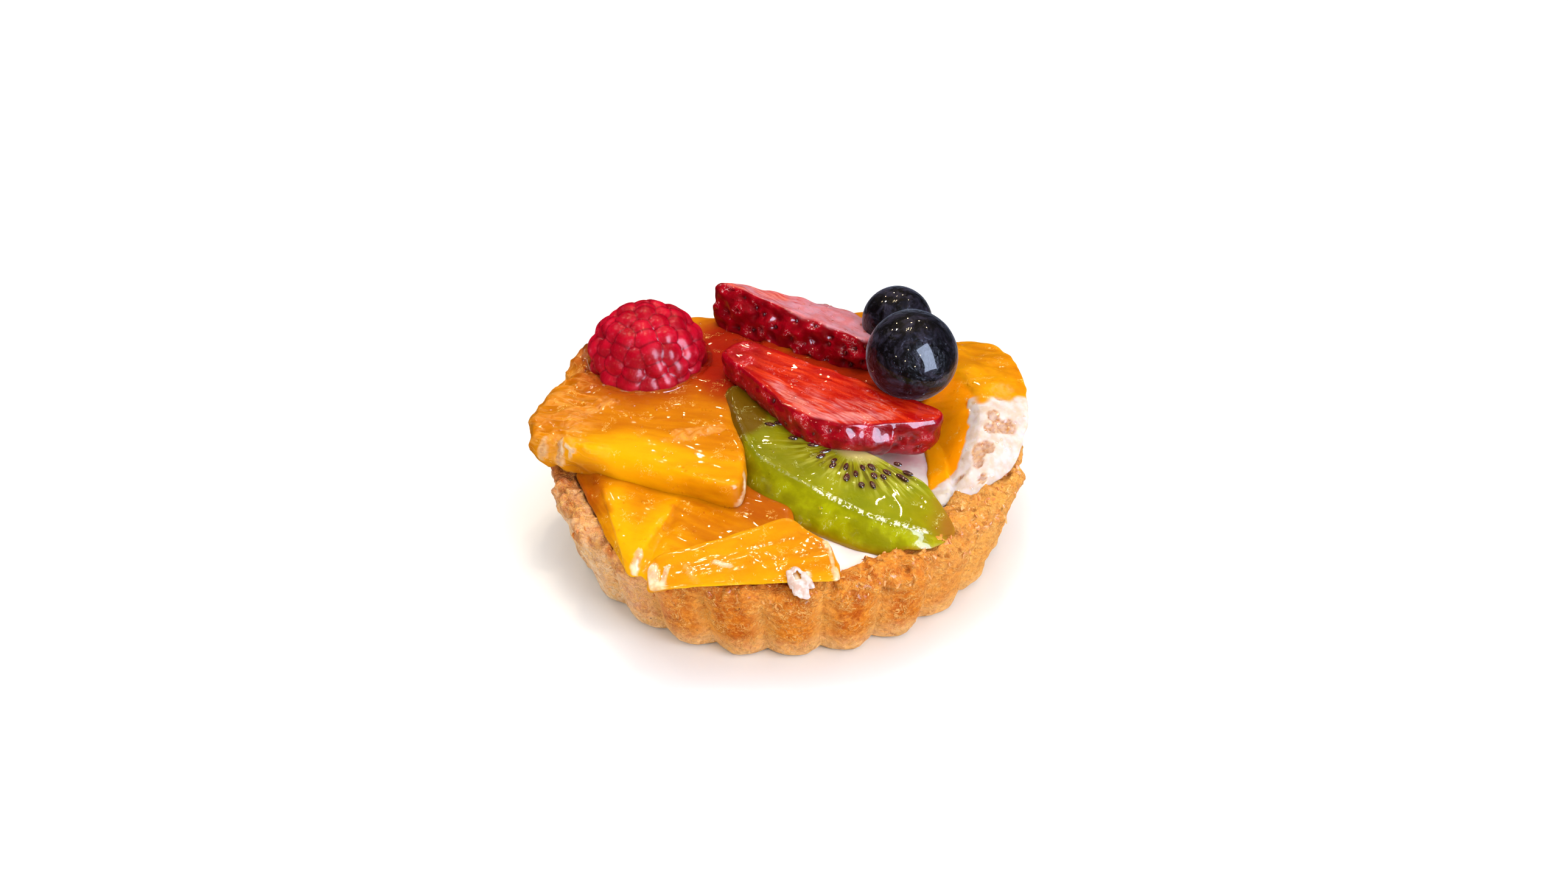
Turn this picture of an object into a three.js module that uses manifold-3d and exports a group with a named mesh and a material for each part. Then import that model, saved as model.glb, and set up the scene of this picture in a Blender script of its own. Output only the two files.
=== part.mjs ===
// A small fruit tart: a fluted shortcrust shell filled with cream and topped with slices of orange,
// strawberry and kiwi, a raspberry and two blueberries. Each piece of food is a solid of its own.
// Millimetres, +Z up. The origin is the middle of the shell's flat base, and the front is at -Y.
import * as THREE from "three";
import { mergeVertices } from "three/addons/utils/BufferGeometryUtils.js";
import Module from "manifold-3d";

// ---- Driving dimensions ----

const GAP = 0.35; // between pieces that rest on each other

const SHELL = {
  rimRadius: 40, // to the crest of a flute, just below the rim
  baseRadius: 35.7, // to the crest of a flute, just above the base
  height: 16.8,
  flutes: 24,
  fluteDepth: 2.2,
  turn: 0.2, // degrees that the front flute is turned by
  mouthRadius: 34.2, // inside the rim, where the cream meets the crust
  floorRadius: 28.5,
  floorThickness: 4.5,
};

const CREAM = { top: 15.7, crown: 0.7 };

// Each slice has its face in its own XY plane and its thickness below that.
// at: a point on the face, normal: where the face looks, along: the direction of the slice's own X.
// round: the oval that it was before it was cut, and how much that widens and shifts for each
// millimetre of depth. cuts: straight cuts as [direction in degrees, distance, slant]. anchor: the
// point that the rows of vertices run out from. creases: folds that run out from it as [direction in
// degrees, width, depth, start]. bumps: where the face is raised, as [x, y, height, radius].
const SLICES = {
  strawberry_front: {
    at: [5, -1.5, 28.3], normal: [0.1, -0.02, 1], along: [0.887, -0.46, 0], thickness: 6.2, taper: 0.01,
    round: { x: 1, y: 4, rx: 21.5, ry: 9.5, flare: 0, shift: 0 },
    cuts: [[-116, 5.4, -0.1], [-56, 8.2, -0.15], [0, 21, -0.25], [88, 8.6, 0], [180, 18.6, 0]],
    anchor: [1, 2], power: 9, bulge: 0.6, edge: 0.8, rough: 0.22, size: 5, seed: 11, columns: 32,
  },
  strawberry_back: {
    at: [2, 22, 30.9], normal: [0.217, 0.15, 1], along: [0.84, -0.54, 0], thickness: 8, taper: 0.006,
    round: { x: 1, y: 3.6, rx: 19.5, ry: 8.5, flare: 0, shift: 0 },
    cuts: [[-90, 1.6, 0], [114, 5.8, 0], [80, 9.5, 0], [0, 16.5, 0], [180, 18, 0]],
    anchor: [4, 3], power: 9, bulge: 0.6, edge: 0.8, rough: 0.25, size: 5, seed: 12, columns: 30,
  },
  kiwi: {
    at: [10.9, -8.8, 22.8], normal: [0.086, -0.069, 1], along: [0.78, -0.63, 0], thickness: 6,
    round: { x: 0, y: 0, rx: 25.5, ry: 13.5, flare: 0.5, shift: 0 },
    cuts: [[-90, 12, 0.65], [-126, 16.6, 0.3], [-43, 22.2, 0.4], [0, 23.8, 0], [68, 6.5, 0], [90, 1.3, 0]],
    anchor: [1, -5.5], power: 12, bulge: 0.4, edge: 0.8, rough: 0.12, size: 9, seed: 10, columns: 40,
  },
  orange_front: {
    at: [-4, -31, 20.1], normal: [0, -0.4, 1], along: [1, 0, 0], thickness: 5.5,
    round: { x: -3, y: -3, rx: 19, ry: 18, flare: 0, shift: 0 },
    cuts: [[-90, 7.2, 0.1], [106.4, 4, 0], [54, 6.6, 0], [6.5, 10.4, 0.1], [166, 16.3, 0.1]],
    anchor: [-1, -2], power: 18, bulge: 0.3, edge: 0.7, rough: 0.3, size: 7, seed: 6, columns: 34,
  },
  orange_left: {
    at: [-24, 0, 24.4], normal: [0, -0.04, 1], along: [1, 0, 0], thickness: 6,
    round: { x: 5, y: -1, rx: 23.5, ry: 21, flare: 0, shift: 0 },
    cuts: [[-117, 10.8, 0.05], [-155, 17.9, 0.1], [90, 15, 0], [0, 16.8, 0]],
    anchor: [0, 0], power: 18, bulge: 0.6, edge: 1, rough: 0.4, size: 8, seed: 2, columns: 44,
    creases: [[199, 1, 1.2, 12]],
  },
  orange_back_left: {
    at: [-18, 21, 24], normal: [0, 0, 1], along: [1, 0.25, 0], thickness: 6,
    round: { x: 0, y: 0, rx: 19.5, ry: 10, flare: 0, shift: 0 }, cuts: [[125, 11.8, 0]],
    anchor: [0, 0], power: 18, bulge: 0.6, edge: 0.9, rough: 0.4, size: 8, seed: 7, columns: 28,
    bumps: [[-16.5, 1, 1.6, 4]],
  },
  orange_right: {
    at: [31, -2, 21], normal: [-0.6, -0.1, 0.79], along: [0, 1, 0], thickness: 6.5,
    round: { x: 5.3, y: 14, rx: 19.9, ry: 16.9, flare: 0.95, shift: 0.72 },
    cuts: [[90, 16, 0], [207, 11.4, -0.15]],
    anchor: [9, 7], power: 18, bulge: 0.3, edge: 0.7, rough: 0.25, size: 8, seed: 9, columns: 36,
  },
  orange_front_left: {
    at: [-17, -17, 19.4], normal: [0, -0.02, 1], along: [1, 0, 0], thickness: 6.5,
    round: { x: 4, y: 3, rx: 26, ry: 24, flare: 0, shift: 0 },
    cuts: [[199, 11.6, 0.8], [-75, 15.5, 0.4], [-117, 18.6, 0], [90, 12, 0], [0, 25, 0]],
    anchor: [0, 0], power: 18, bulge: 0.3, edge: 0.9, rough: 0.35, size: 8, seed: 5, columns: 36,
    creases: [[-112, 1.3, 0.9, 3]],
  },
  orange_back: {
    at: [12, 19, 24.2], normal: [0.05, -0.05, 1], along: [1, 0, 0], thickness: 6,
    round: { x: 0, y: 0, rx: 16, ry: 11, flare: 0, shift: 0 }, cuts: [],
    anchor: [0, 0], power: 18, bulge: 0.6, edge: 0.9, rough: 0.35, size: 8, seed: 8, columns: 18,
  },
};

// The dome stands on its open end, and foot is how far that is below the widest part.
const RASPBERRY = { at: [-23.2, 17.4, 24.6], radius: 8.2, height: 8.4, drupelet: 2.5, foot: 0.9 };

const KIWI_SEEDS = {
  count: 24, length: 2, width: 1.1,
  x: -1.2, y: 1.3, rx: 11.5, ry: 6.6, from: -163, to: 4,
};

const MEMBRANE_SCRAP = { at: [5.9, -6.2, 0.1], size: [2.1, 2.7, 0.6] };

const BLUEBERRIES = {
  blueberry_front: { at: [21.55, 4.4, 31.7], radius: 7.7 },
  blueberry_back: { at: [19.9, 18.9, 29.3], radius: 6.05 },
};

const wasm = await Module();
wasm.setup();

const deg = THREE.MathUtils.degToRad;

// ---- Solids from vertex grids ----

// A closed solid from rings of points, closed at each end by one point.
function ringSolid(start, rings, end) {
  const count = rings[0].length;
  const points = [start, ...rings.flat(), end];
  const last = points.length - 1;
  const faces = [];
  const at = (ring, column) => 1 + ring * count + (column % count);
  for (let c = 0; c < count; c++) {
    faces.push(0, at(0, c), at(0, c + 1));
    for (let r = 0; r + 1 < rings.length; r++) {
      faces.push(at(r, c), at(r + 1, c), at(r + 1, c + 1));
      faces.push(at(r, c), at(r + 1, c + 1), at(r, c + 1));
    }
    faces.push(last, at(rings.length - 1, c + 1), at(rings.length - 1, c));
  }
  const geometry = new THREE.BufferGeometry();
  geometry.setAttribute("position", new THREE.Float32BufferAttribute(points.flatMap((p) => p.toArray()), 3));
  geometry.setIndex(faces);
  return solidOf(geometry);
}

// A three.js geometry as a manifold-3d solid, moved by matrix.
function solidOf(geometry, matrix = new THREE.Matrix4()) {
  const bare = new THREE.BufferGeometry();
  bare.setAttribute("position", geometry.getAttribute("position").clone());
  bare.setIndex(geometry.index);
  bare.applyMatrix4(matrix);
  const merged = mergeVertices(bare, 1e-4);
  return new wasm.Manifold(
    new wasm.Mesh({
      numProp: 3,
      vertProperties: merged.getAttribute("position").array,
      triVerts: new Uint32Array(merged.index.array),
    }),
  );
}

// A closed three.js geometry with its corners joined.
function bareOf(geometry) {
  geometry.deleteAttribute("normal");
  geometry.deleteAttribute("uv");
  return mergeVertices(geometry);
}

// A manifold-3d solid as a three.js geometry.
function geometryOf(solid) {
  const mesh = solid.getMesh();
  const geometry = new THREE.BufferGeometry();
  geometry.setAttribute("position", new THREE.BufferAttribute(new Float32Array(mesh.vertProperties), 3));
  geometry.setIndex(new THREE.BufferAttribute(new Uint32Array(mesh.triVerts), 1));
  return geometry;
}

// The same solid, moved by a three.js matrix.
function moved(solid, matrix) {
  return solid.transform(matrix.toArray());
}

// Smooth, repeatable unevenness between -1 and 1, from a few crossed waves.
function unevenness(x, y, z, size, seed) {
  const k = (2 * Math.PI) / size;
  const a = Math.sin(k * (x + 0.4 * y) + seed * 1.7 + 1.3 * Math.sin(k * 0.63 * z + seed));
  const b = Math.sin(k * (0.8 * y - 0.5 * z) + seed * 2.9 + 1.1 * Math.sin(k * 0.71 * x));
  const c = Math.sin(k * (0.9 * z + 0.3 * x) + seed * 4.1 + 1.2 * Math.sin(k * 0.57 * y));
  return (a + b + c) / 3;
}

// ---- The crust ----

function crustSolid() {
  const s = SHELL;
  const perFlute = 6;
  const columns = s.flutes * perFlute;
  // How far a flute stands out: 1 at its crest and 0 in the crease between two flutes.
  const crest = (angle) => Math.pow(Math.abs(Math.cos((s.flutes / 2) * (angle - deg(s.turn - 90)))), 0.8);
  const slope = (s.rimRadius - s.baseRadius) / (s.height - 2);
  const wall = (z) => s.baseRadius + slope * (z - 1);
  // Rows from the floor, over the rim and down the outside to the base:
  // radius, height, share of the flute depth, roughness
  const rows = [
    [s.floorRadius, s.floorThickness, 0, 0],
    [s.mouthRadius, s.height - 1.8, 0, 0.2],
    [s.mouthRadius + 1.4, s.height - 0.3, 0, 0.5],
    [s.rimRadius - 2.9, s.height, 0.2, 0.55],
    [s.rimRadius - 0.9, 16.1, 0.5, 0.5],
    [wall(14.8), 14.8, 0.8, 0.35],
    [wall(11.5), 11.5, 1, 0.2],
    [wall(1.6), 1.6, 1, 0.1],
    [s.baseRadius - 0.9, 0.3, 0.95, 0],
    [s.baseRadius - 2.6, 0, 0.8, 0],
  ];
  const rings = rows.map(([radius, height, share, rough]) =>
    Array.from({ length: columns }, (_, c) => {
      const angle = (2 * Math.PI * c) / columns;
      const r0 = radius - s.fluteDepth * share * (1 - crest(angle));
      const x = r0 * Math.cos(angle);
      const y = r0 * Math.sin(angle);
      const flake = Math.max(0, unevenness(x, y, height, 2.3, 5) - 0.35);
      const swell = unevenness(x, y, height, 7, 1) + 0.7 * unevenness(x, y, height, 3.1, 2);
      const crag = rough * (swell + 2 * flake);
      const r = r0 + crag;
      const z = height + (height > 14 ? 0.8 * crag : 0);
      return new THREE.Vector3(r * Math.cos(angle), r * Math.sin(angle), z);
    }),
  );
  return ringSolid(new THREE.Vector3(0, 0, s.floorThickness), rings, new THREE.Vector3(0, 0, 0));
}

// The room that the crust takes up, with clearance all round.
function crustRoom() {
  const s = SHELL;
  const profile = [
    [0, -2],
    [s.rimRadius + 2.5, -2],
    [s.rimRadius + 2.5, 15.5],
    [s.rimRadius + 0.6, s.height + 0.3],
    [s.mouthRadius + 1, s.height + 0.45],
    [s.mouthRadius - 0.55, s.height - 1.6],
    [s.floorRadius - 0.4, s.floorThickness + GAP],
    [0, s.floorThickness + GAP],
  ];
  const geometry = new THREE.LatheGeometry(profile.map(([x, y]) => new THREE.Vector2(x, y)), 72);
  return solidOf(geometry, new THREE.Matrix4().makeRotationX(Math.PI / 2));
}

// ---- The cream ----

function creamSolid() {
  const s = SHELL;
  const columns = 28;
  const rows = [
    [s.mouthRadius * 0.6, CREAM.top + CREAM.crown * 0.8],
    [s.mouthRadius - 3.4, CREAM.top],
    [s.mouthRadius - 1.5, CREAM.top - 0.5],
    [s.mouthRadius - 1.6, CREAM.top - 1.6],
    [s.floorRadius - 1, s.floorThickness + GAP + 0.6],
    [s.floorRadius - 1.6, s.floorThickness + GAP],
  ];
  const rings = rows.map(([radius, height]) =>
    Array.from({ length: columns }, (_, c) => {
      const angle = (2 * Math.PI * c) / columns;
      const x = radius * Math.cos(angle);
      const y = radius * Math.sin(angle);
      const wave = height > CREAM.top - 1 ? 0.3 * unevenness(x, y, 0, 14, 3) : 0;
      return new THREE.Vector3(x, y, height + wave);
    }),
  );
  const middle = new THREE.Vector3(0, 0, CREAM.top + CREAM.crown);
  return ringSolid(middle, rings, new THREE.Vector3(0, 0, s.floorThickness + GAP));
}

// ---- Slices ----

// How far a straight way from the anchor in the direction of angle stays inside the oval and the cuts.
// A high power gives crisp corners.
function reach(angle, depth, { round, cuts, anchor, power }) {
  const dx = Math.cos(angle);
  const dy = Math.sin(angle);
  const rx = round.rx + round.flare * depth;
  const ry = round.ry + round.flare * depth;
  const cx = round.x + round.shift * depth - anchor[0];
  const cy = round.y - anchor[1];
  const a = (dx / rx) ** 2 + (dy / ry) ** 2;
  const b = -(cx * dx) / rx ** 2 - (cy * dy) / ry ** 2;
  const c = (cx / rx) ** 2 + (cy / ry) ** 2 - 1;
  let sum = ((-b + Math.sqrt(b * b - a * c)) / a) ** -power;
  for (const [degrees, distance, slant] of cuts) {
    const across = Math.cos(angle - deg(degrees));
    const near = anchor[0] * Math.cos(deg(degrees)) + anchor[1] * Math.sin(deg(degrees));
    if (across > 0.02) sum += ((distance + slant * depth - near) / across) ** -power;
  }
  return sum ** (-1 / power);
}

// How deep the creases are at a distance out from the anchor.
function creased(angle, out, creases = []) {
  return creases.reduce((sum, [degrees, width, depth, start]) => {
    const across = out * Math.sin(angle - deg(degrees));
    const along = out * Math.cos(angle - deg(degrees));
    const begun = THREE.MathUtils.smoothstep(along, start, start + 5);
    return sum + depth * begun * Math.exp(-((across / width) ** 2));
  }, 0);
}

// How far the face is raised by its bumps.
function bumped(x, y, bumps = []) {
  return bumps.reduce((sum, [bx, by, height, radius]) => {
    return sum + height * Math.exp(-((x - bx) ** 2 + (y - by) ** 2) / radius ** 2);
  }, 0);
}

// A slice as it was cut.
function sliceSolid(slice) {
  const { thickness, bulge, edge, rough, size, seed, columns, anchor, creases, bumps, taper = 0 } = slice;
  // depth, inset from the outline and share of the reach, from the face to the underside
  const rows = [
    [0, 0, 0.68],
    [0, edge * 0.9, 1],
    [edge * 0.35, edge * 0.25, 1],
    [edge * 1.1, 0, 1],
    [thickness * 0.5, 0, 1],
    [thickness - edge * 1.1, 0, 1],
    [thickness, edge, 1],
  ];
  const point = (depth, inset, share, angle) => {
    const swell = bulge * Math.sin((Math.PI * depth) / thickness);
    const whole = reach(angle, depth, slice);
    const fold = creased(angle, share * whole, creases);
    const out = share * (whole - inset + swell - 0.8 * fold);
    const x = anchor[0] + out * Math.cos(angle);
    const y = anchor[1] + out * Math.sin(angle);
    const crag = rough * unevenness(x, y, depth, size, seed);
    const level = 1 - depth / thickness;
    const down = depth * (1 + taper * x) + level * (fold - bumped(x, y, bumps)) - crag * 0.6;
    return new THREE.Vector3(x + crag * Math.cos(angle), y + crag * Math.sin(angle), -down);
  };
  const rings = rows.map(([depth, inset, share]) =>
    Array.from({ length: columns }, (_, c) => point(depth, inset, share, (2 * Math.PI * c) / columns)),
  );
  return ringSolid(point(0, 0, 0, 0), rings, point(thickness, 0, 0, 0));
}

// The room that a slice takes up, with clearance all round.
function sliceRoom(slice) {
  const { thickness, bulge, rough, anchor, columns, bumps, taper = 0 } = slice;
  const clear = GAP + 0.6 * rough + 0.15;
  const rings = [0, 0.5, 1].map((share) =>
    Array.from({ length: columns }, (_, c) => {
      const angle = (2 * Math.PI * c) / columns;
      const swell = bulge * Math.sin(Math.PI * share);
      const out = reach(angle, thickness * share, slice) + swell + clear;
      const x = anchor[0] + out * Math.cos(angle);
      const y = anchor[1] + out * Math.sin(angle);
      const down = thickness * share * (1 + taper * x) - (1 - share) * bumped(x, y, bumps);
      return new THREE.Vector3(x, y, -down - clear * (2 * share - 1));
    }),
  );
  const middle = (down) => new THREE.Vector3(anchor[0], anchor[1], -down);
  return ringSolid(middle(-clear), rings, middle(thickness + clear));
}

// The seeds of a kiwi slice stand in an arc of three rows around its core and lie along its rays.
function kiwiSeeds() {
  const { count, x, y, rx, ry, from, to, length, width } = KIWI_SEEDS;
  return Array.from({ length: count }, (_, i) => {
    const angle = deg(from + ((to - from) * i) / (count - 1));
    const row = [1, 0.8, 1.16][i % 3];
    const place = new THREE.Vector3(x + row * rx * Math.cos(angle), y + row * ry * Math.sin(angle), 0.08);
    const turn = new THREE.Quaternion().setFromAxisAngle(new THREE.Vector3(0, 0, 1), angle);
    const size = new THREE.Vector3(length, width, 0.8 * width).multiplyScalar(0.5 + 0.05 * Math.sin(5 * i));
    return solidOf(bareOf(new THREE.OctahedronGeometry(1)), new THREE.Matrix4().compose(place, turn, size));
  });
}

// A scrap of white membrane that hangs from the front edge of the front orange slice.
function membraneScrap() {
  const { at, size } = MEMBRANE_SCRAP;
  return [ball(1, 1).scale(size).translate(at)];
}

// Where a slice lies.
function placeOf({ at, normal, along }) {
  const z = new THREE.Vector3(...normal).normalize();
  const x = new THREE.Vector3(...along);
  x.addScaledVector(z, -x.dot(z)).normalize();
  const y = new THREE.Vector3().crossVectors(z, x);
  return new THREE.Matrix4().makeBasis(x, y, z).setPosition(...at);
}

// ---- Berries ----

function ball(radius, detail) {
  return solidOf(bareOf(new THREE.IcosahedronGeometry(radius, detail)));
}

// One drupelet of a raspberry: a dome on a short stalk along +Z, with its middle at the origin.
function drupeletSolid(radius) {
  const columns = 5;
  const rings = [[0.68, 0.74], [1, 0.1]].map(([out, up]) =>
    Array.from({ length: columns }, (_, c) => {
      const angle = (2 * Math.PI * c) / columns;
      return new THREE.Vector3(radius * out * Math.cos(angle), radius * out * Math.sin(angle), radius * up);
    }),
  );
  return ringSolid(new THREE.Vector3(0, 0, radius), rings, new THREE.Vector3(0, 0, -radius));
}

// The raspberry stands on its open end with its tip up.
function raspberrySolid() {
  const { radius, height, drupelet, foot } = RASPBERRY;
  const parts = [ball(1, 1).scale([radius, radius, height])];
  // latitude of each row of drupelets and how many it has
  const rows = [[2, 12], [26, 11], [49, 8], [70, 4]];
  rows.forEach(([latitude, count], row) => {
    for (let i = 0; i < count; i++) {
      const angle = (2 * Math.PI * (i + 0.5 * (row % 2))) / count + 0.1 * Math.sin(5 * i + row);
      const lat = deg(latitude + 2.5 * Math.sin(3 * i + 2 * row));
      const outward = new THREE.Vector3(Math.cos(angle), Math.sin(angle), Math.tan(lat)).normalize();
      const turn = new THREE.Quaternion().setFromUnitVectors(new THREE.Vector3(0, 0, 1), outward);
      const place = new THREE.Vector3(radius, radius, height).multiply(outward);
      const size = 1 + 0.1 * Math.sin(7 * i + 3 * row);
      const matrix = new THREE.Matrix4().compose(place, turn, new THREE.Vector3(size, size, 0.9 * size));
      parts.push(moved(drupeletSolid(drupelet), matrix));
    }
  });
  parts.push(moved(drupeletSolid(drupelet), new THREE.Matrix4().makeTranslation(0, 0, height - 0.3)));
  return wasm.Manifold.union(parts).trimByPlane([0, 0, 1], -foot);
}

// The room that the raspberry takes up, with clearance all round.
function raspberryRoom() {
  const { radius, drupelet, foot } = RASPBERRY;
  return ball(radius + drupelet + GAP, 2).trimByPlane([0, 0, 1], -foot - GAP);
}

// ---- Putting it together ----

// colour and roughness of each kind of food
const LOOKS = {
  crust: [0xd99a52, 0.8],
  cream: [0xf0ebf2, 0.45],
  blueberry: [0x1b1c2b, 0.35],
  raspberry: [0xc8143a, 0.3],
  strawberry: [0xb01226, 0.25],
  kiwi: [0xa0a51e, 0.25],
  orange: [0xf2a30c, 0.25],
};

// The pieces in the order in which they keep their form: each is cut back to clear those before it.
const pieces = [];
function addPiece(name, solid, room, place) {
  pieces.push({ name, solid: moved(solid, place), room: moved(room, place), place });
}

addPiece("crust", crustSolid(), crustRoom(), new THREE.Matrix4());
for (const [name, { at, radius }] of Object.entries(BLUEBERRIES)) {
  addPiece(name, ball(radius, 3), ball(radius + GAP + 0.1, 2), new THREE.Matrix4().setPosition(...at));
}
addPiece("raspberry", raspberrySolid(), raspberryRoom(), new THREE.Matrix4().setPosition(...RASPBERRY.at));
const FUSED = { kiwi: kiwiSeeds, orange_front: membraneScrap };
for (const [name, slice] of Object.entries(SLICES)) {
  const extras = FUSED[name] ? FUSED[name]() : [];
  addPiece(name, wasm.Manifold.union([sliceSolid(slice), ...extras]), sliceRoom(slice), placeOf(slice));
}
addPiece("cream", creamSolid(), creamSolid(), new THREE.Matrix4());

const group = new THREE.Group();
pieces.forEach(({ name, solid, place }, index) => {
  let cut = solid;
  for (const other of pieces.slice(0, index)) {
    cut = cut.subtract(other.room);
  }
  const bodies = cut.decompose().sort((a, b) => b.volume() - a.volume());
  const geometry = geometryOf(bodies[0]);
  geometry.applyMatrix4(place.clone().invert());
  const [color, roughness] = LOOKS[name.split("_")[0]];
  const mesh = new THREE.Mesh(geometry, new THREE.MeshStandardMaterial({ color, roughness, metalness: 0 }));
  mesh.name = name;
  mesh.applyMatrix4(place);
  group.add(mesh);
});

export default group;
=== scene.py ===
import math

import bpy
import numpy as np
from mathutils import Matrix, Vector


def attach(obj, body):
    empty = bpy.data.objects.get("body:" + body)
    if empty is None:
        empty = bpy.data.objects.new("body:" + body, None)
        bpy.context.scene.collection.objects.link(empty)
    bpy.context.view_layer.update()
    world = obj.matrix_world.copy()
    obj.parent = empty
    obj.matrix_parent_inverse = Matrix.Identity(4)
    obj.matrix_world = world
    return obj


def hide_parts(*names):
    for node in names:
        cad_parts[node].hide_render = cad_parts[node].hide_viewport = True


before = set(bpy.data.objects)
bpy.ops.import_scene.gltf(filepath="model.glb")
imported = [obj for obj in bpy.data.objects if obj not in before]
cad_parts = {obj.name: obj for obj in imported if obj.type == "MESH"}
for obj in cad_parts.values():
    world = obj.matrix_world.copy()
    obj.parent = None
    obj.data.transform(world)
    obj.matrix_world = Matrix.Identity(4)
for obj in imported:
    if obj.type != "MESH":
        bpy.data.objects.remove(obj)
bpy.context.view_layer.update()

# ---- The crust ----
# A shell of shortcrust, pressed into a fluted tin and baked until the rim browns. The crumb is short
# and flaky, with pores and a few dark specks. Glaze from the fruit has run over the rim and soaked in.

MM = 0.001
RIM_RADIUS, BASE_RADIUS, SHELL_HEIGHT = 40.0, 35.7, 16.8
MOUTH_RADIUS, FLOOR_RADIUS, FLOOR_THICKNESS = 34.2, 28.5, 4.5
FLUTES, FLUTE_DEPTH, FLUTE_TURN = 24, 2.2, 0.2


def smooth(low, high, x):
    """0 below low, 1 above high and a smooth rise between."""
    t = np.clip((x - low) / (high - low), 0, 1)
    return t * t * (3 - 2 * t)


def hump(distance, width):
    """1 where distance is 0, fading out over about two widths."""
    return np.exp(-((distance / width) ** 2))


def unevenness(x, y, z, size, seed):
    """Broad unevenness between -1 and 1 from a few crossed waves."""
    k = 2 * np.pi / size
    a = np.sin(k * (x + 0.4 * y) + seed * 1.7 + 1.3 * np.sin(k * 0.63 * z + seed))
    b = np.sin(k * (0.8 * y - 0.5 * z) + seed * 2.9 + 1.1 * np.sin(k * 0.71 * x))
    c = np.sin(k * (0.9 * z + 0.3 * x) + seed * 4.1 + 1.2 * np.sin(k * 0.57 * y))
    return (a + b + c) / 3


def lumps(points, size, seed):
    """Random smooth lumps about size across, between -1 and 1."""
    q = np.asarray(points) / size + 11.3 * seed
    cell = np.floor(q).astype(np.int64)
    f = q - cell
    f = f * f * (3 - 2 * f)
    total = np.zeros(q.shape[:-1])
    # Each corner of a cell has a height of its own, mixed from its place by a fixed rule
    for corner in range(8):
        step = np.array([corner & 1, corner >> 1 & 1, corner >> 2 & 1])
        c = cell + step
        h = (c[..., 0] * 73856093 ^ c[..., 1] * 19349663 ^ c[..., 2] * 83492791) & 0xFFFFFFFF
        h = ((h ^ (h >> 13)) * 1274126177) & 0xFFFFFFFF
        weight = np.prod(np.where(step, f, 1 - f), axis=-1)
        total += weight * (((h ^ (h >> 16)) & 0xFFFF) / 32767.5 - 1)
    return total


def full_turn(columns):
    """Even steps of angle, once round."""
    return np.linspace(0, 2 * np.pi, columns, endpoint=False)[None, :]


def joined(*values):
    """Separate values as the parts of vectors."""
    return np.stack(np.broadcast_arrays(*values), axis=-1)


def polar(r, angle, z):
    """Points from a radius, an angle and a height."""
    return joined(r * np.cos(angle), r * np.sin(angle), z)


def distances(rows):
    """How far along its line each row of radius and height lies."""
    return np.concatenate([[0], np.cumsum(np.hypot(*np.diff(rows[:, :2], axis=0).T))])


def outward(rings):
    """The direction that each point of a grid of rings faces."""
    across = np.roll(rings, -1, axis=1) - np.roll(rings, 1, axis=1)
    normal = np.cross(np.gradient(rings, axis=0), across)
    return normal / (np.linalg.norm(normal, axis=-1, keepdims=True) + 1e-9)


def new_mesh(name, points, faces, marks):
    """A smooth mesh from points in millimetres. marks are its own attributes: a number or a vector
    for each point."""
    mesh = bpy.data.meshes.new(name)
    mesh.from_pydata((np.asarray(points) * MM).tolist(), [], faces)
    mesh.shade_smooth()
    for key, values in marks.items():
        flat = np.reshape(values, (len(points), -1)).astype(np.float32)
        vector = flat.shape[1] == 3
        attribute = mesh.attributes.new(key, "FLOAT_VECTOR" if vector else "FLOAT", "POINT")
        attribute.data.foreach_set("vector" if vector else "value", flat.ravel())
    return mesh


def in_scene(name, mesh):
    made = bpy.data.objects.new(name, mesh)
    bpy.context.scene.collection.objects.link(made)
    return made


def skin(name, rings, marks, start=None, end=None):
    """A closed piece from rings of points, with a point at each end: the middle of the ring there
    unless it is given. marks have a value or a vector for each point of the rings."""
    rows, columns = rings.shape[:2]
    start = rings[0].mean(0) if start is None else start
    end = rings[-1].mean(0) if end is None else end
    points = np.concatenate([[start], rings.reshape(-1, 3), [end]])
    grid = 1 + np.arange(rows * columns).reshape(rows, columns)
    beside = np.roll(grid, -1, axis=1)
    quads = joined(grid[:-1], grid[1:], beside[1:], beside[:-1]).reshape(-1, 4)
    first, last = joined(0, grid[0], beside[0]), joined(len(points) - 1, beside[-1], grid[-1])
    whole = {}
    for key, values in marks.items():
        flat = values.reshape(rows * columns, -1)
        whole[key] = np.concatenate([flat[:columns].mean(0)[None], flat, flat[-columns:].mean(0)[None]])
    return in_scene(name, new_mesh(name, points, first.tolist() + quads.tolist() + last.tolist(), whole))


def finished(piece, look, slot, *nodes):
    """Gives a piece its material and its place in the frame."""
    piece.data.materials.clear()
    piece.data.materials.append(look.material)
    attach(piece, "root")
    if nodes:
        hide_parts(*nodes)


def flute(angle):
    """1 on the crest of a flute and 0 in the crease between two."""
    return np.abs(np.cos(FLUTES / 2 * (angle - math.radians(FLUTE_TURN - 90)))) ** 0.8


def wall_radius(z):
    """How far out the sloping wall stands at height z."""
    return BASE_RADIUS + (RIM_RADIUS - BASE_RADIUS) / (SHELL_HEIGHT - 2) * (z - 1)


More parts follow.
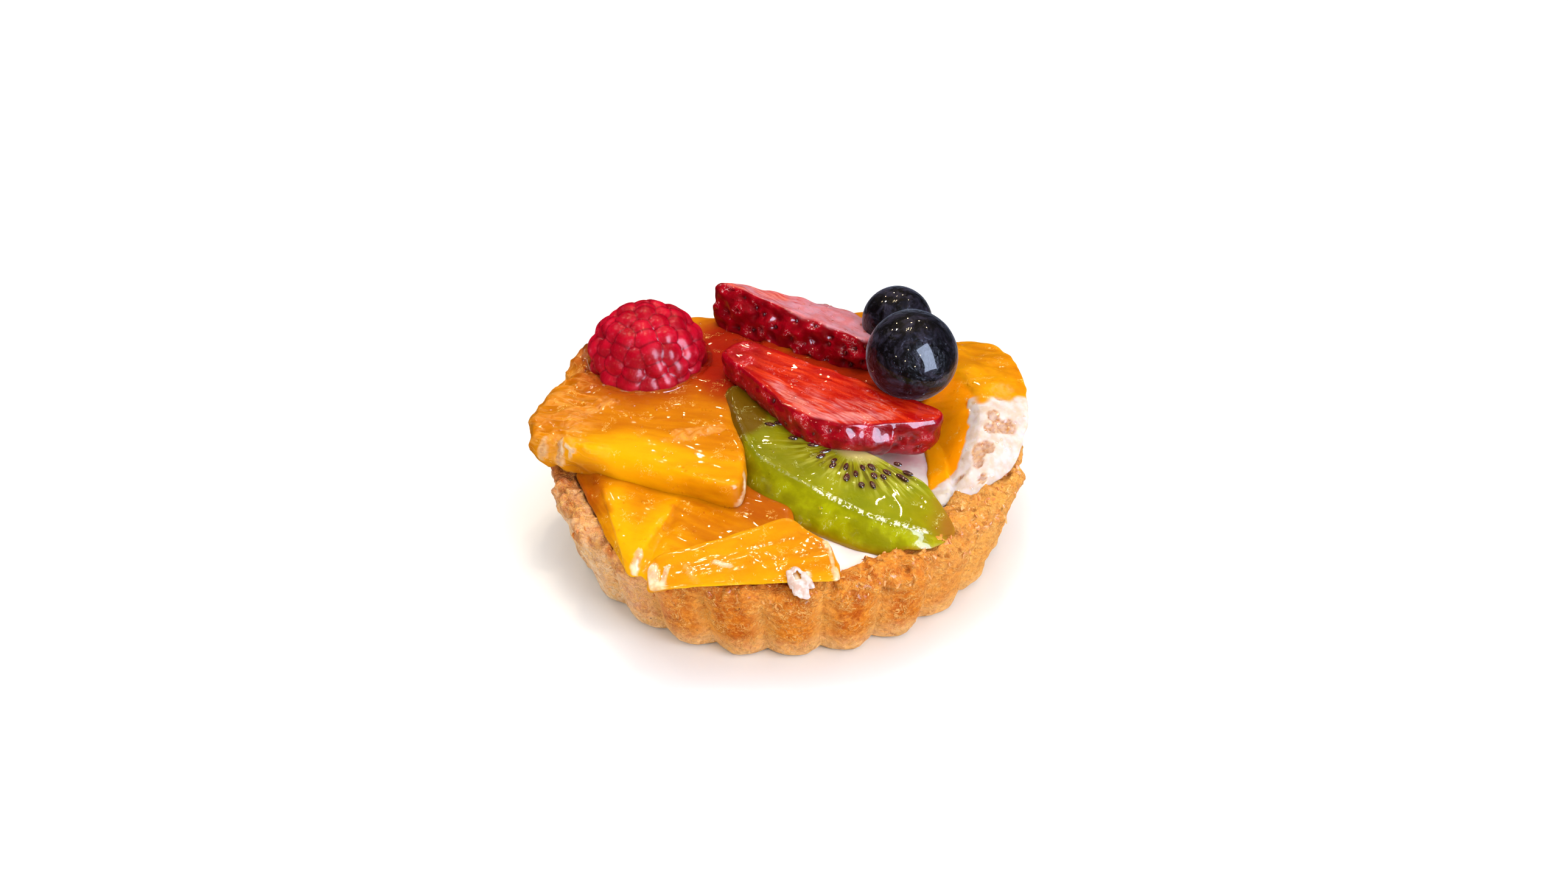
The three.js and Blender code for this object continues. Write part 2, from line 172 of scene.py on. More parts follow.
def crust_rings(columns=720, row_step=0.27):
    # radius, height, share of the flute depth and roughness, from the floor over the rim to the base
    rows = np.array([
        [FLOOR_RADIUS, FLOOR_THICKNESS, 0, 0],
        [MOUTH_RADIUS, SHELL_HEIGHT - 1.8, 0, 0.2],
        [MOUTH_RADIUS + 1.4, SHELL_HEIGHT - 0.3, 0, 0.5],
        [RIM_RADIUS - 2.9, SHELL_HEIGHT, 0.2, 0.55],
        [RIM_RADIUS - 0.9, 16.1, 0.5, 0.5],
        [wall_radius(14.8), 14.8, 0.8, 0.35],
        [wall_radius(11.5), 11.5, 1, 0.2],
        [wall_radius(1.6), 1.6, 1, 0.1],
        [BASE_RADIUS - 0.9, 0.3, 0.95, 0],
        [BASE_RADIUS - 2.6, 0, 0.8, 0],
    ])
    run = distances(rows)
    at = np.concatenate([np.linspace(0, run[1], 8)[:-1], np.arange(run[1], run[-1], row_step), [run[-1]]])
    fine = joined(*(np.interp(at, run, column) for column in rows.T))
    # All the corners above the floor are rounded
    for _ in range(6):
        fine[9:-1] = 0.25 * fine[8:-2] + 0.5 * fine[9:-1] + 0.25 * fine[10:]
    radius, height, share, rough = (column[:, None] for column in fine.T)
    angle = full_turn(columns)
    crest = flute(angle)
    r = radius - FLUTE_DEPTH * share * (1 - crest)
    x, y, z = r * np.cos(angle), r * np.sin(angle), height + 0 * angle
    crag = unevenness(x, y, z, 7, 1) + 0.7 * unevenness(x, y, z, 3.1, 2)
    crag = rough * (crag + 2 * np.maximum(0, unevenness(x, y, z, 2.3, 5) - 0.35))
    r = r + crag
    rings = polar(r, angle, z + np.where(z > 14, 0.8 * crag, 0))
    # The lip leans in on the right, where the dough was pressed thicker
    wrapped = (angle + np.pi) % (2 * np.pi) - np.pi
    thick = smooth(-1.55, -1.2, wrapped) * smooth(0.25, -0.25, wrapped) + 0.9 * hump(wrapped + 0.56, 0.22)
    lean = thick * smooth(9, 15.5, z) * smooth(38.2, 35, r)
    rings[..., :2] *= (1 - 1.9 * lean / np.maximum(r, 1))[..., None]
    rings[..., 2] += 0.35 * lean
    # The crumb: grains, flakes that lift off and pores, strongest at the browned rim
    bake = smooth(11, 16.5, z)
    ridge = 1 - np.abs(lumps(rings * [1, 1, 1.3], 2.3, 4))
    flake = smooth(0.72, 1, ridge) * (0.08 + 0.38 * bake)
    pore = smooth(0.45, 0.8, lumps(rings, 1.3, 6)) * (0.10 + 0.30 * bake)
    grain = 0.09 * lumps(rings, 1.7, 2) + 0.07 * lumps(rings, 0.8, 3)
    side = smooth(-0.2, 0.9, np.cos(angle - 0.12)) * bake
    torn = side * (0.6 * lumps(rings, 2.6, 8) + 0.5 * lumps(rings, 1.2, 9))
    uneven = 0.30 * lumps(rings, 5.5, 10) + 0.20 * lumps(rings, 2.6, 11)
    keep = smooth(0, 0.8, z)
    rings += outward(rings) * (keep * (uneven + grain * (1 + bake) + flake - pore + torn))[..., None]
    rings[..., 2] = np.maximum(rings[..., 2], 0)
    return rings, {"bake": bake, "crest": share * crest, "pore": pore / 0.3}


def rgb(colour):
    """A colour given as it shows on a screen, as the linear values that Blender takes."""
    return tuple(((c / 255 + 0.055) / 1.055) ** 2.4 if c > 10 else c / 3295 for c in colour) + (1.0,)


class Recipe:
    """A node tree being put together. Each call adds to it and gives back what comes out."""

    def __init__(self, tree, place):
        self.tree, self.place = tree, place

    def fill(self, made, inputs):
        """Sets a node's sockets to values, or links them."""
        for key, value in inputs.items():
            if isinstance(value, bpy.types.NodeSocket):
                self.tree.links.new(value, made.inputs[key])
            else:
                made.inputs[key].default_value = value
        return made

    def node(self, kind, inputs, **settings):
        made = self.tree.nodes.new("ShaderNode" + kind)
        for key, value in settings.items():
            setattr(made, key, value)
        return self.fill(made, inputs)

    def noise(self, size, detail=2.0, rough=0.5, bend=0.0, at=None, unit=MM):
        """Noise with features about size millimetres across, or size units."""
        return self.node("TexNoise", {
            "Vector": at or self.place, "Scale": 1 / (size * unit), "Detail": detail, "Roughness": rough,
            "Distortion": bend}).outputs["Fac"]

    def cells(self, size, at=None):
        """Cells about size millimetres across, each with a Distance from its middle and a Color."""
        return self.node("TexVoronoi", {"Vector": at or self.place, "Scale": 1 / (size * MM)}).outputs

    def between(self, value, low, high, out_low=0.0, out_high=1.0):
        """Takes value from the range low to high over to another range."""
        return self.node("MapRange", {
            "Value": value, "From Min": low, "From Max": high, "To Min": out_low, "To Max": out_high,
        }, interpolation_type="SMOOTHSTEP").outputs["Result"]

    def maths(self, operation, *values):
        return self.node("Math", dict(enumerate(values)), operation=operation).outputs[0]

    def times(self, a, b):
        return self.maths("MULTIPLY", a, b)

    def plus(self, a, *others):
        for b in others:
            a = self.maths("ADD", a, b)
        return a

    def swing(self, noise, amount):
        """A noise as a number that swings to both sides of 0."""
        return self.times(self.maths("SUBTRACT", noise, 0.5), amount)

    def lines(self, noise):
        """0 along the thin winding lines where a noise is at its middle."""
        return self.maths("ABSOLUTE", self.maths("SUBTRACT", noise, 0.5))

    def parts(self, vector):
        return self.node("SeparateXYZ", {0: vector}).outputs

    def tint(self, mask, a, b):
        """Colour a where mask is 0 and colour b where it is 1."""
        a, b = (rgb(c) if isinstance(c, tuple) else c for c in (a, b))
        return self.node("Mix", {0: mask, 6: a, 7: b}, data_type="RGBA").outputs[2]

    def mottled(self, size, detail, low, high, a, b):
        """Two colours in soft patches about size millimetres across."""
        return self.tint(self.between(self.noise(size, detail), low, high), a, b)

    def coats(self, colour, *coats):
        """Paints coats over a colour. A coat is a mask, or a value and the range over which the coat
        comes in, then how much of it shows there and its colour."""
        for value, *span, most, paint in coats:
            if span:
                value = self.between(value, *span, 0.0, most)
            elif most != 1:
                value = self.times(value, most)
            colour = self.tint(value, colour, paint)
        return colour


class Look(Recipe):
    """A material, with constant values on its shader's own sockets."""

    def __init__(self, name, **values):
        self.material = bpy.data.materials.new(name)
        self.material.use_nodes = True
        super().__init__(self.material.node_tree, None)
        self.shader = self.tree.nodes["Principled BSDF"]
        self.fill(self.shader, {key.replace("_", " "): value for key, value in values.items()})
        self.place = self.node("TexCoord", {}).outputs["Object"]

    def mark(self, name, output="Fac"):
        """A piece's own attribute."""
        return self.node("Attribute", {}, attribute_name=name).outputs[output]

    def group(self, group, *values):
        """One of the shared effects, with its own values for this material."""
        made = self.node("Group", {}, node_tree=group)
        return self.fill(made, dict(enumerate((self.place, *values)))).outputs[0]

    def dress(self, colour, height, strength, distance_mm):
        """Puts the colour, and relief too fine for the mesh, on the shader."""
        values = {"Height": height, "Strength": strength, "Distance": distance_mm * MM}
        self.fill(self.shader, {"Base Color": colour, "Normal": self.node("Bump", values).outputs[0]})


look = Look(
    "baked_shortcrust", Subsurface_Weight=0.1, Subsurface_Scale=0.001, Subsurface_Radius=(1.0, 0.5, 0.2),
    Coat_Roughness=0.12, Specular_IOR_Level=0.04)
bake, crest, pore = look.mark("bake"), look.mark("crest"), look.mark("pore")
patches = look.noise(4.4, 5.0, 0.65, 0.8)
grains, fine = look.noise(0.8, 5.0, 0.65, 0.4), look.noise(0.28, 4.0, 0.7)
x, _, z = look.parts(look.place)
# Chips of crumb, each a little lighter or darker than the next
warp = look.node("TexNoise", {"Vector": look.place, "Scale": 1 / (1.6 * MM), "Detail": 3.0}).outputs["Color"]
warp = look.node("VectorMath", {0: warp, 1: (0.0024, 0.0024, 0.0024)}, operation="MULTIPLY").outputs[0]
warped = look.node("VectorMath", {0: look.place, 1: warp}, operation="ADD").outputs[0]
chips, small_chips = look.cells(1.15, warped), look.cells(0.5, warped)
chip_tone, small_tone = (
    look.node("SeparateColor", {0: kind["Color"]}).outputs[0] for kind in (chips, small_chips))
# Thin curled flakes of crumb lie here and there, lighter than the rest
fold, small_fold = look.lines(look.noise(3.0, bend=2.6)), look.lines(look.noise(1.5, bend=2.0))
small_curl = look.between(small_fold, 0.034, 0.008, 0.0, 0.8)
curl = look.maths("MAXIMUM", look.between(fold, 0.03, 0.006), small_curl)
flakes = look.times(curl, look.between(look.noise(2.0, 3, 0.6), 0.40, 0.58))
golden = look.coats(
    look.tint(look.between(patches, 0.34, 0.66), (208, 118, 26), (178, 82, 8)),
    (crest, 0.95, 0.15, 0.66, (240, 174, 86)),
    (z, 6.5 * MM, 0.5 * MM, 0.85, (250, 204, 142)),
    # Paler towards the left: dough that browned less, and painted light on that side
    (x, -16 * MM, -34 * MM, 0.8, (236, 214, 178)),
    (x, 16 * MM, 34 * MM, 0.55, (240, 184, 100)),
    (grains, 0.46, 0.30, 0.45, (172, 84, 18)))
brown = look.coats(
    look.tint(look.between(patches, 0.3, 0.65), (208, 118, 32), (170, 80, 14)),
    (x, 14 * MM, 34 * MM, 0.7, (236, 176, 94)),
    (grains, 0.54, 0.72, 0.5, (234, 160, 76)))
colour = look.coats(
    golden,
    (look.times(bake, look.between(patches, 0.3, 0.62, 0.2, 0.9)), 1, brown),
    (chip_tone, 0.55, 0.95, 0.36, (232, 150, 50)),
    (chip_tone, 0.4, 0.05, 0.35, (172, 80, 12)),
    (small_tone, 0.6, 0.95, 0.32, (238, 168, 72)),
    (small_tone, 0.3, 0.02, 0.3, (160, 72, 12)),
    (flakes, 0.75, (242, 188, 108)),
    (grains, 0.62, 0.74, 0.4, (236, 172, 88)),
    # Painted shade darkens the pores
    (pore, 0.2, 1.0, 0.5, (142, 66, 16)),
    (look.cells(2.2)["Distance"], 0.09, 0.04, 0.75, (92, 44, 14)))
height = look.plus(
    look.times(grains, 0.5), look.times(fine, 0.25), look.times(chips["Distance"], -0.45),
    look.times(small_chips["Distance"], -0.3), look.times(fold, -1.6), look.times(small_fold, -0.9),
    look.times(flakes, 0.3))
look.dress(colour, height, 0.9, 0.5)
look.fill(look.shader, {
    "Roughness": look.between(grains, 0.3, 0.7, 0.62, 0.85),
    "Coat Weight": look.times(bake, look.between(patches, 0.46, 0.62, 0.0, 0.4))})

crust = skin("crust_shell", *crust_rings(), (0, 0, FLOOR_THICKNESS), (0, 0, 0))
finished(crust, look, "crust", "crust")

# ---- The cream ----
# A thick custard cream, piped into the shell and levelled. Only its edge shows between the fruit,
# where it bulges a little in a smooth lip and has taken up some juice from the strawberry.

CREAM_TOP, CREAM_CROWN, CREAM_FOOT = 15.7, 0.7, FLOOR_THICKNESS + 0.1


def cream_rings(columns=200):
    rows = np.array([
        [1, CREAM_TOP + CREAM_CROWN],
        [MOUTH_RADIUS * 0.6, CREAM_TOP + CREAM_CROWN * 0.8],
        [MOUTH_RADIUS - 3.4, CREAM_TOP + 0.15],
        [MOUTH_RADIUS - 1.5, CREAM_TOP - 0.3],
        [MOUTH_RADIUS - 0.5, CREAM_TOP - 1.6],
        [FLOOR_RADIUS, CREAM_FOOT],
    ])
    run = distances(rows)
    at = np.concatenate([np.linspace(0, run[3], 70), np.linspace(run[3], run[5], 14)[1:]])
    radius, height = (np.interp(at, run, column)[:, None] for column in rows.T)
    rings = polar(radius, full_turn(columns), height)
    top = smooth(CREAM_TOP - 3, CREAM_TOP - 0.5, rings[..., 2])
    x, y = rings[..., 0], rings[..., 1]
    rings[..., 2] += top * (0.3 * unevenness(x, y, 0, 14, 3) + 0.25 * lumps(rings, 5, 2))
    return rings, {"stain": smooth(7, 1, np.hypot(x - 22, (y + 4) * 1.3))}


look = Look(
    "custard_cream", Roughness=0.36, Subsurface_Weight=0.5, Subsurface_Scale=0.002,
    Subsurface_Radius=(1.0, 0.7, 0.6), Coat_Weight=0.25, Coat_Roughness=0.08)
soft = look.noise(5, 3)
stain = look.times(look.mark("stain"), look.between(soft, 0.35, 0.6))
colour = look.tint(look.between(soft, 0.35, 0.7), (240, 232, 234), (228, 216, 222))
look.dress(look.coats(colour, (stain, 0.5, (226, 120, 160))), look.noise(1.6, 3), 0.25, 0.3)
cream = skin("cream_filling", *cream_rings(), (0, 0, CREAM_TOP + CREAM_CROWN), (0, 0, CREAM_FOOT))
finished(cream, look, "cream", "cream")

# ---- The orange ----
# Six pieces of peeled orange, cut across or lifted out as segments. The juice sacs lie side by side as
# long streaks under a wet skin of glaze, and white pith still clings to the corners and to one rind side.

# Rows of points round each edge of a slice, and across its underside
ROUNDED_ROWS, UNDER_ROWS = 7, 8


def away(points, centre, stretch=1):
    """How far each point lies from centre, with its three directions stretched."""
    return np.linalg.norm((points - centre) * stretch, axis=-1)


def reach(angle, depth, s):
    """How far a straight way from the anchor stays inside a slice's oval and its straight cuts."""
    dx, dy = np.cos(angle), np.sin(angle)
    x, y, rx, ry = s["oval"]
    rx, ry = rx + s.get("flare", 0) * depth, ry + s.get("flare", 0) * depth
    cx, cy = x + s.get("shift", 0) * depth - s["anchor"][0], y - s["anchor"][1]
    a = (dx / rx) ** 2 + (dy / ry) ** 2
    b = -(cx * dx) / rx**2 - (cy * dy) / ry**2
    c = (cx / rx) ** 2 + (cy / ry) ** 2 - 1
    power = s.get("power", 18)
    total = ((-b + np.sqrt(b * b - a * c)) / a) ** -power
    for degrees, distance, slant in s["cuts"]:
        turn = math.radians(degrees)
        across = np.cos(angle - turn)
        near = s["anchor"][0] * math.cos(turn) + s["anchor"][1] * math.sin(turn)
        way = (distance + slant * depth - near) / np.maximum(across, 0.02)
        total = total + np.where(across > 0.02, way ** -power, 0)
    return total ** (-1 / power)


def slice_rings(s, columns=260, face=44, side=24):
    """A slice in its own frame: its face looks along its own Z and its thickness lies below that.
    Returns the points and, for each, how far out it is from the anchor to the edge and how deep."""
    t, under = s["thickness"], s.get("under", 0.8)
    turn = np.linspace(0, np.pi / 2, ROUNDED_ROWS + 1)[1:, None]
    angle = full_turn(columns)
    r = s["soft"] + 0 * angle
    for degrees, width, soft in s.get("crisp", []):
        off = (np.degrees(angle) - degrees + 180) % 360 - 180
        r += (soft - r) * smooth(width, 0.6 * width, np.abs(off))
    down = np.linspace(0, 1, side)[1:, None]
    on_face, below = np.ones((face, 1)), np.ones((UNDER_ROWS, 1))
    depth = np.concatenate([
        0 * r * on_face, r * (1 - np.cos(turn)), r + (t - under - r) * down,
        t - under * (1 - np.sin(turn)) + 0 * r, t + 0 * r * below])
    inset = np.concatenate([
        r * on_face, r * (1 - np.sin(turn)), 0 * r * down, under * (1 - np.cos(turn)) + 0 * r,
        under + 0 * r * below])
    share = np.concatenate([
        np.linspace(0.02, 1, face) ** 0.8, np.ones(2 * ROUNDED_ROWS + side - 1),
        np.linspace(0.95, 0.1, UNDER_ROWS)])[:, None]
    whole = reach(angle, depth, s)
    fold = np.zeros_like(whole)
    for degrees, width, deep, start in s.get("creases", []):
        beside = share * whole * np.sin(angle - math.radians(degrees))
        along = share * whole * np.cos(angle - math.radians(degrees))
        fold += deep * smooth(start, start + 5, along) * hump(beside, width)
    out = share * (whole - inset + s["bulge"] * np.sin(np.pi * depth / t) - 0.8 * fold)
    x = s["anchor"][0] + out * np.cos(angle)
    y = s["anchor"][1] + out * np.sin(angle)
    crag = s["rough"] * unevenness(x, y, depth, s["size"], s["seed"])
    raised = 0 * x
    for bx, by, high, wide in s.get("bumps", []):
        raised += high * hump(np.hypot(x - bx, y - by), wide)
    down = depth * (1 + s.get("taper", 0) * x) + (1 - depth / t) * (fold - raised) - 0.6 * crag
    return joined(x + crag * np.cos(angle), y + crag * np.sin(angle), -down), share + 0 * angle, depth


def laid(points, s):
    """Points of a slice's own frame, laid where it lies on the tart."""
    z = np.array(s["normal"], float)
    z /= np.linalg.norm(z)
    x = np.array(s.get("along", (1, 0, 0)), float)
    x -= z * (x @ z)
    x /= np.linalg.norm(x)
    return points @ np.array([x, np.cross(z, x), z]) + np.array(s["at"])


def rested(points, depth, s):
    """Thins a slice from below, so that it lies on the cream and over the rim."""
    r = np.hypot(points[..., 0], points[..., 1])
    ground = np.interp(r, [0, 33.0, 35.0, 40.6, 42.5, 46], [15.3, 15.3, 17.1, 16.9, 15.4, 12])
    n, at = s["normal"], s["at"]
    plane = at[2] - (n[0] * (points[..., 0] - at[0]) + n[1] * (points[..., 1] - at[1])) / n[2]
    room, thick, least = plane - ground, s["thickness"] * math.hypot(*n) / n[2], 0.8
    lift = np.maximum(0, thick - np.maximum(room, least)) * depth / s["thickness"]
    return points + joined(0, 0, lift + np.maximum(0, least - room))


# For each slice: where and how it lies, its outline as an oval and straight cuts (turn, distance and
# slant), how round and uneven its edges are, and which way its streaks run
ORANGES = {
    "orange_front": dict(
        at=(-4, -31, 20.1), normal=(0, -0.4, 1), thickness=5.5, soft=0.9, oval=(-3, -3, 19, 18),
        cuts=[(-90, 7.2, 0.1), (106.4, 4, 0), (54, 6.6, 0), (6.5, 10.4, 0.1), (166, 16.3, 0.1)],
        anchor=(-1, -2), bulge=0.3, rough=0.3, size=7, seed=6, streaks=12),
    "orange_left": dict(
        at=(-24, 0, 24.4), normal=(0, -0.04, 1), thickness=6, soft=2.0, oval=(5, -1, 23.5, 21), anchor=(0, 0),
        cuts=[(-117, 10.8, 0.05), (-155, 17.9, 0.1), (90, 15, 0), (0, 16.8, 0)], creases=[(199, 1, 1.2, 12)],
        crisp=[(205, 40, 0.7), (-47, 26, 0.8)], under=0.35, bulge=0.6, rough=0.4, size=8, seed=2,
        streaks=-14),
    "orange_back_left": dict(
        at=(-18, 21, 24), normal=(0, 0, 1), along=(1, 0.25, 0), thickness=6, soft=1.6, oval=(0, 0, 19.5, 10),
        anchor=(0, 0), cuts=[(125, 11.8, 0)], bumps=[(-16.5, 1, 1.6, 4)], bulge=0.6, rough=0.4, size=8,
        seed=7, streaks=5),
    "orange_right": dict(
        at=(31, -2, 21), normal=(-0.6, -0.1, 0.79), along=(0, 1, 0), thickness=6.5, soft=0.8,
        oval=(5.3, 14, 19.9, 16.9), flare=0.95, shift=0.72, anchor=(9, 7),
        cuts=[(90, 16, 0), (207, 11.4, -0.15)], bulge=0.3, rough=0.25, size=8, seed=9, streaks=60),
    "orange_front_left": dict(
        at=(-17, -17, 19.4), normal=(0, -0.02, 1), thickness=6.5, soft=1.0, oval=(4, 3, 26, 24),
        anchor=(0, 0), cuts=[(199, 11.3, 0.4), (-75, 15.5, 0.4), (-117, 18.6, 0), (90, 12, 0), (0, 17.6, 0)],
        creases=[(-112, 1.3, 0.9, 3)], bumps=[(-4.5, -18.5, -1.3, 3.2)], under=0.4, bulge=0.3, rough=0.35,
        size=8, seed=5, streaks=-35),
    "orange_back": dict(
        at=(12, 19, 24.2), normal=(0.05, -0.05, 1), thickness=6, soft=1.2, oval=(0, 0, 16, 11),
        anchor=(0, 0), cuts=[], bulge=0.6, rough=0.35, size=8, seed=8, streaks=20),
}

# White pith, and tan skin, that is left on the flesh: two ends of a line and a radius in millimetres
REMAINS = {
    ("orange_left", "pith"): [
        ((-39.6, -3.4, 23.4), (-41.2, -4.6, 18.8), 0.6), ((-37.2, -5.2, 23.3), (-37.9, -6.8, 18.6), 0.8),
        ((-36.3, -6.3, 23.6), (-35.0, -7.2, 23.2), 0.5), ((-35.4, -7.0, 23.2), (-36.4, -7.6, 19.4), 0.5),
        ((-7.0, -15.4, 22.6), (-8.0, -19.0, 19.8), 0.7)],
    ("orange_left", "tan"): [
        ((-38.0, -4.3, 23.8), (-38.4, -5.8, 20.0), 1.4), ((-17.6, -5.3, 24.5), (-11.3, -3.9, 24.5), 1.3),
        ((-20.0, -6.8, 24.3), (-14.6, -6.2, 24.5), 0.5), ((-36.5, -0.6, 24.4), (-28.8, 4.5, 24.7), 0.9),
        ((-35.5, 2.6, 24.4), (-30.0, 5.6, 24.7), 0.5)],
    ("orange_front_left", "pith"): [((-23.9, -30.0, 18.9), (-25.0, -33.8, 16.8), 0.5)],
    ("orange_front_left", "tan"): [((-33.4, -13.1, 18.3), (-32.4, -17.5, 18.0), 0.5)],
    ("orange_front", "pith"): [
        ((-21.9, -33.9, 18.8), (-21.3, -37.8, 17.2), 0.9), ((-19.5, -34.2, 19.0), (-20.4, -37.6, 17.4), 0.4),
        ((-11.9, -33.3, 19.2), (-9.5, -34.2, 18.8), 0.35), ((5.9, -29.6, 20.3), (7.0, -36.8, 17.7), 0.26),
        ((5.7, -30.6, 20.1), (5.9, -31.4, 19.8), 0.5), ((6.9, -35.6, 18.3), (7.3, -37.0, 17.4), 0.55),
        ((0.0, -35.6, 18.3), (1.8, -38.6, 16.9), 0.55), ((2.6, -36.0, 18.2), (2.0, -38.6, 16.9), 0.5)],
    ("orange_front", "tan"): [((-16.6, -34.0, 19.0), (-15.0, -36.6, 17.8), 0.4)],
}
# The two ridges of the folded slice: their ends, the side that is lit and how high they stand
RIDGES = [
    ((-30.0, -14.0, 18.6), (-25.3, -34.0, 17.6), 1, 0.45),
    ((-18.7, -19.0, 19.0), (-23.9, -30.5, 18.2), -1, 0.5)]
# Pits in the thick pith of the right slice: a middle and a radius
PITS = [
    ((36.9, 5.6, 22.6), 2.0), ((34.8, -0.5, 22.0), 1.2), ((35.7, -2.4, 21.1), 1.9),
    ((36.9, -2.2, 21.0), 1.6), ((33.9, -3.2, 21.8), 0.9), ((33.4, -7.0, 20.5), 1.2),
    ((32.0, -7.6, 20.1), 1.4), ((31.6, -9.7, 19.4), 1.2), ((28.0, -11.8, 17.4), 0.55),
    ((28.9, -11.6, 17.8), 0.5), ((32.0, -12.8, 18.4), 0.8)]


def near_line(points, a, b):
    """How far each point lies from the line between a and b."""
    a, b = np.array(a), np.array(b)
    way = b - a
    share = np.clip((points - a) @ way / (way @ way), 0, 1)
    return np.linalg.norm(points - a - share[..., None] * way, axis=-1)


def orange_slice(name, s):
    rings, _, depth = slice_rings(s)
    x, y, z = np.moveaxis(rings, -1, 0)
    turn = math.radians(s["streaks"])
    run = x * math.cos(turn) + y * math.sin(turn)
    over = y * math.cos(turn) - x * math.sin(turn)
    sacs = joined(run * 0.2, over, z)
    placed = rested(laid(rings, s), depth, s)
    px, py, pz = np.moveaxis(placed, -1, 0)
    # Juice sacs press a low relief into the skin
    relief = 0.14 * lumps(sacs, 1.9, s["seed"]) + 0.05 * lumps(sacs, 0.8, s["seed"] + 1)
    rag = 0.2 * lumps(placed, 0.9, 7) + 0.08 * lumps(placed, 0.4, 8)
    pith, tan = 0 * x, 0 * x
    for kind, left in (("pith", pith), ("tan", tan)):
        for a, b, radius in REMAINS.get((name, kind), []):
            near = near_line(placed, a, b) / radius + rag * min(1, 0.5 / radius + 0.4)
            np.maximum(left, smooth(1.15, 0.8, near), out=left)
            relief += 0.12 * smooth(1.5, 0.6, near)
    # Painted light: thin edges and fronts, which let the light through, are brighter than the thick middle
    soft = 0.2 * lumps(sacs, 4, 31)
    bright, ruffle = 0.3 + soft, 0 * x
    if name == "orange_front":
        bright = 0.46 + soft
    elif name == "orange_left":
        # The torn left end is ruffled, and so is the skin left near the middle
        ruffle = smooth(-29, -36, px)
        ridges = 1 - 2.4 * np.abs(lumps(sacs * [2.6, 1, 1] + 0.8 * lumps(placed, 4, 3)[..., None], 1.9, 21))
        relief += ruffle * 0.6 * ridges * (0.7 + 0.4 * lumps(placed, 3, 4))
        relief += 0.5 * ruffle * lumps(placed, 3.4, 6) + 0.5 * tan * lumps(placed, 1.1, 5)
        tan = np.maximum(0.75 * tan, 0.5 * ruffle * smooth(0.45, 0.9, ridges) * smooth(23.2, 24, pz))
        lower = py + 2.5 * lumps(sacs * [1, 0.5, 1], 3, 19)
        bright = smooth(1, -12, lower) * (0.45 + 0.4 * smooth(-10, -32, px)) + soft
    elif name == "orange_back_left":
        ruffle = smooth(-28, -33, px)
        relief += ruffle * 0.5 * (1 - 2 * np.abs(lumps(placed, 2.2, 23)))
        tan = np.maximum(tan, ruffle * (0.35 + 0.35 * lumps(placed, 2, 24)))
    elif name == "orange_front_left":
        # It is folded twice, so it has two long ridges
        lit = 0 * x
        for a, b, side, high in RIDGES:
            way = np.array(b[:2]) - np.array(a[:2])
            off = (way[0] * (py - a[1]) - way[1] * (px - a[0])) / np.linalg.norm(way)
            near = near_line(placed, a, b)
            relief += high * hump(near, 1.6) * smooth(-0.1, 0.5, side * off + 0.4)
            slope = smooth(-1.0, 0.8, side * off + 0.8 * lumps(placed, 1.5, 8))
            lit = np.maximum(lit, hump(near, 3.2) * slope)
        bright = 0.25 + 0.3 * smooth(-20, -30, py) * smooth(-14, -22, px) + soft + 0.42 * lit
    elif name == "orange_right":
        # Its foot runs out over the cream beside the strawberry
        foot = 16.5 + 0.25 * (px - 23.5) + 1.3 * np.minimum(0, px - 23.5)
        foot = foot - 6 * smooth(26.5, 28.5, px) - 0.8 * depth / s["thickness"]
        placed[..., 2] = np.maximum(pz, foot)
        placed[..., 2] = np.minimum(pz, 15.8 - 0.5 * depth / s["thickness"] + 3 * np.maximum(0, px - 23.2))
        cx, cy, rx, ry = s["oval"]
        flare = s["flare"] * depth
        edge = np.hypot((x - cx - s["shift"] * depth) / (rx + flare), (y - cy) / (ry + flare))
        edge += 0.03 * lumps(placed, 1.6, 3) + 0.015 * lumps(placed, 0.7, 4)
        upper = smooth(6.2, 5.2, x + 1.4 * lumps(placed, 2.2, 6))
        pith = smooth(0.83, 0.86, edge) * upper * smooth(15, 12, y)
        for centre, radius in PITS:
            near = away(placed, centre, [1, 0.85, 1]) / radius + 0.25 * lumps(placed, 0.9, 9)
            pit = 0.5 * smooth(0.95, 0.6, near) + 0.7 * hump(near - 0.85, 0.12)
            pit += 0.25 * lumps(placed, 0.6, 12)
            tan = np.maximum(tan, pit * smooth(1.2, 0.9, near))
            relief -= 0.3 * smooth(1.1, 0.6, near)
        relief += pith * (0.15 * lumps(placed, 1.6, 5) + 0.06 * lumps(placed, 0.7, 6))
        relief += smooth(3.5, 5.5, x) * (1 - pith) * 0.2 * lumps(sacs, 1.4, 12)
        # The membrane side is painted bright orange: its own colour, and painted light where the berries
        # shade it
        inner = px - 32.4 + 0.33 * (py - 3.7) + 0.7 * lumps(placed, 2.5, 18)
        inner = smooth(0.7, -0.7, inner) * smooth(16, 13, py)
        membrane = (1 - pith) * np.maximum(inner, smooth(5.4, 4.0, x + 0.6 * lumps(placed, 3, 17)))
        bright = 0.25 + 0.2 * smooth(3, 6, x) + soft
    if name != "orange_right":
        tan = np.maximum(tan, 0.5 * pith * smooth(-0.5, 0.4, lumps(placed, 1.3, 16)))
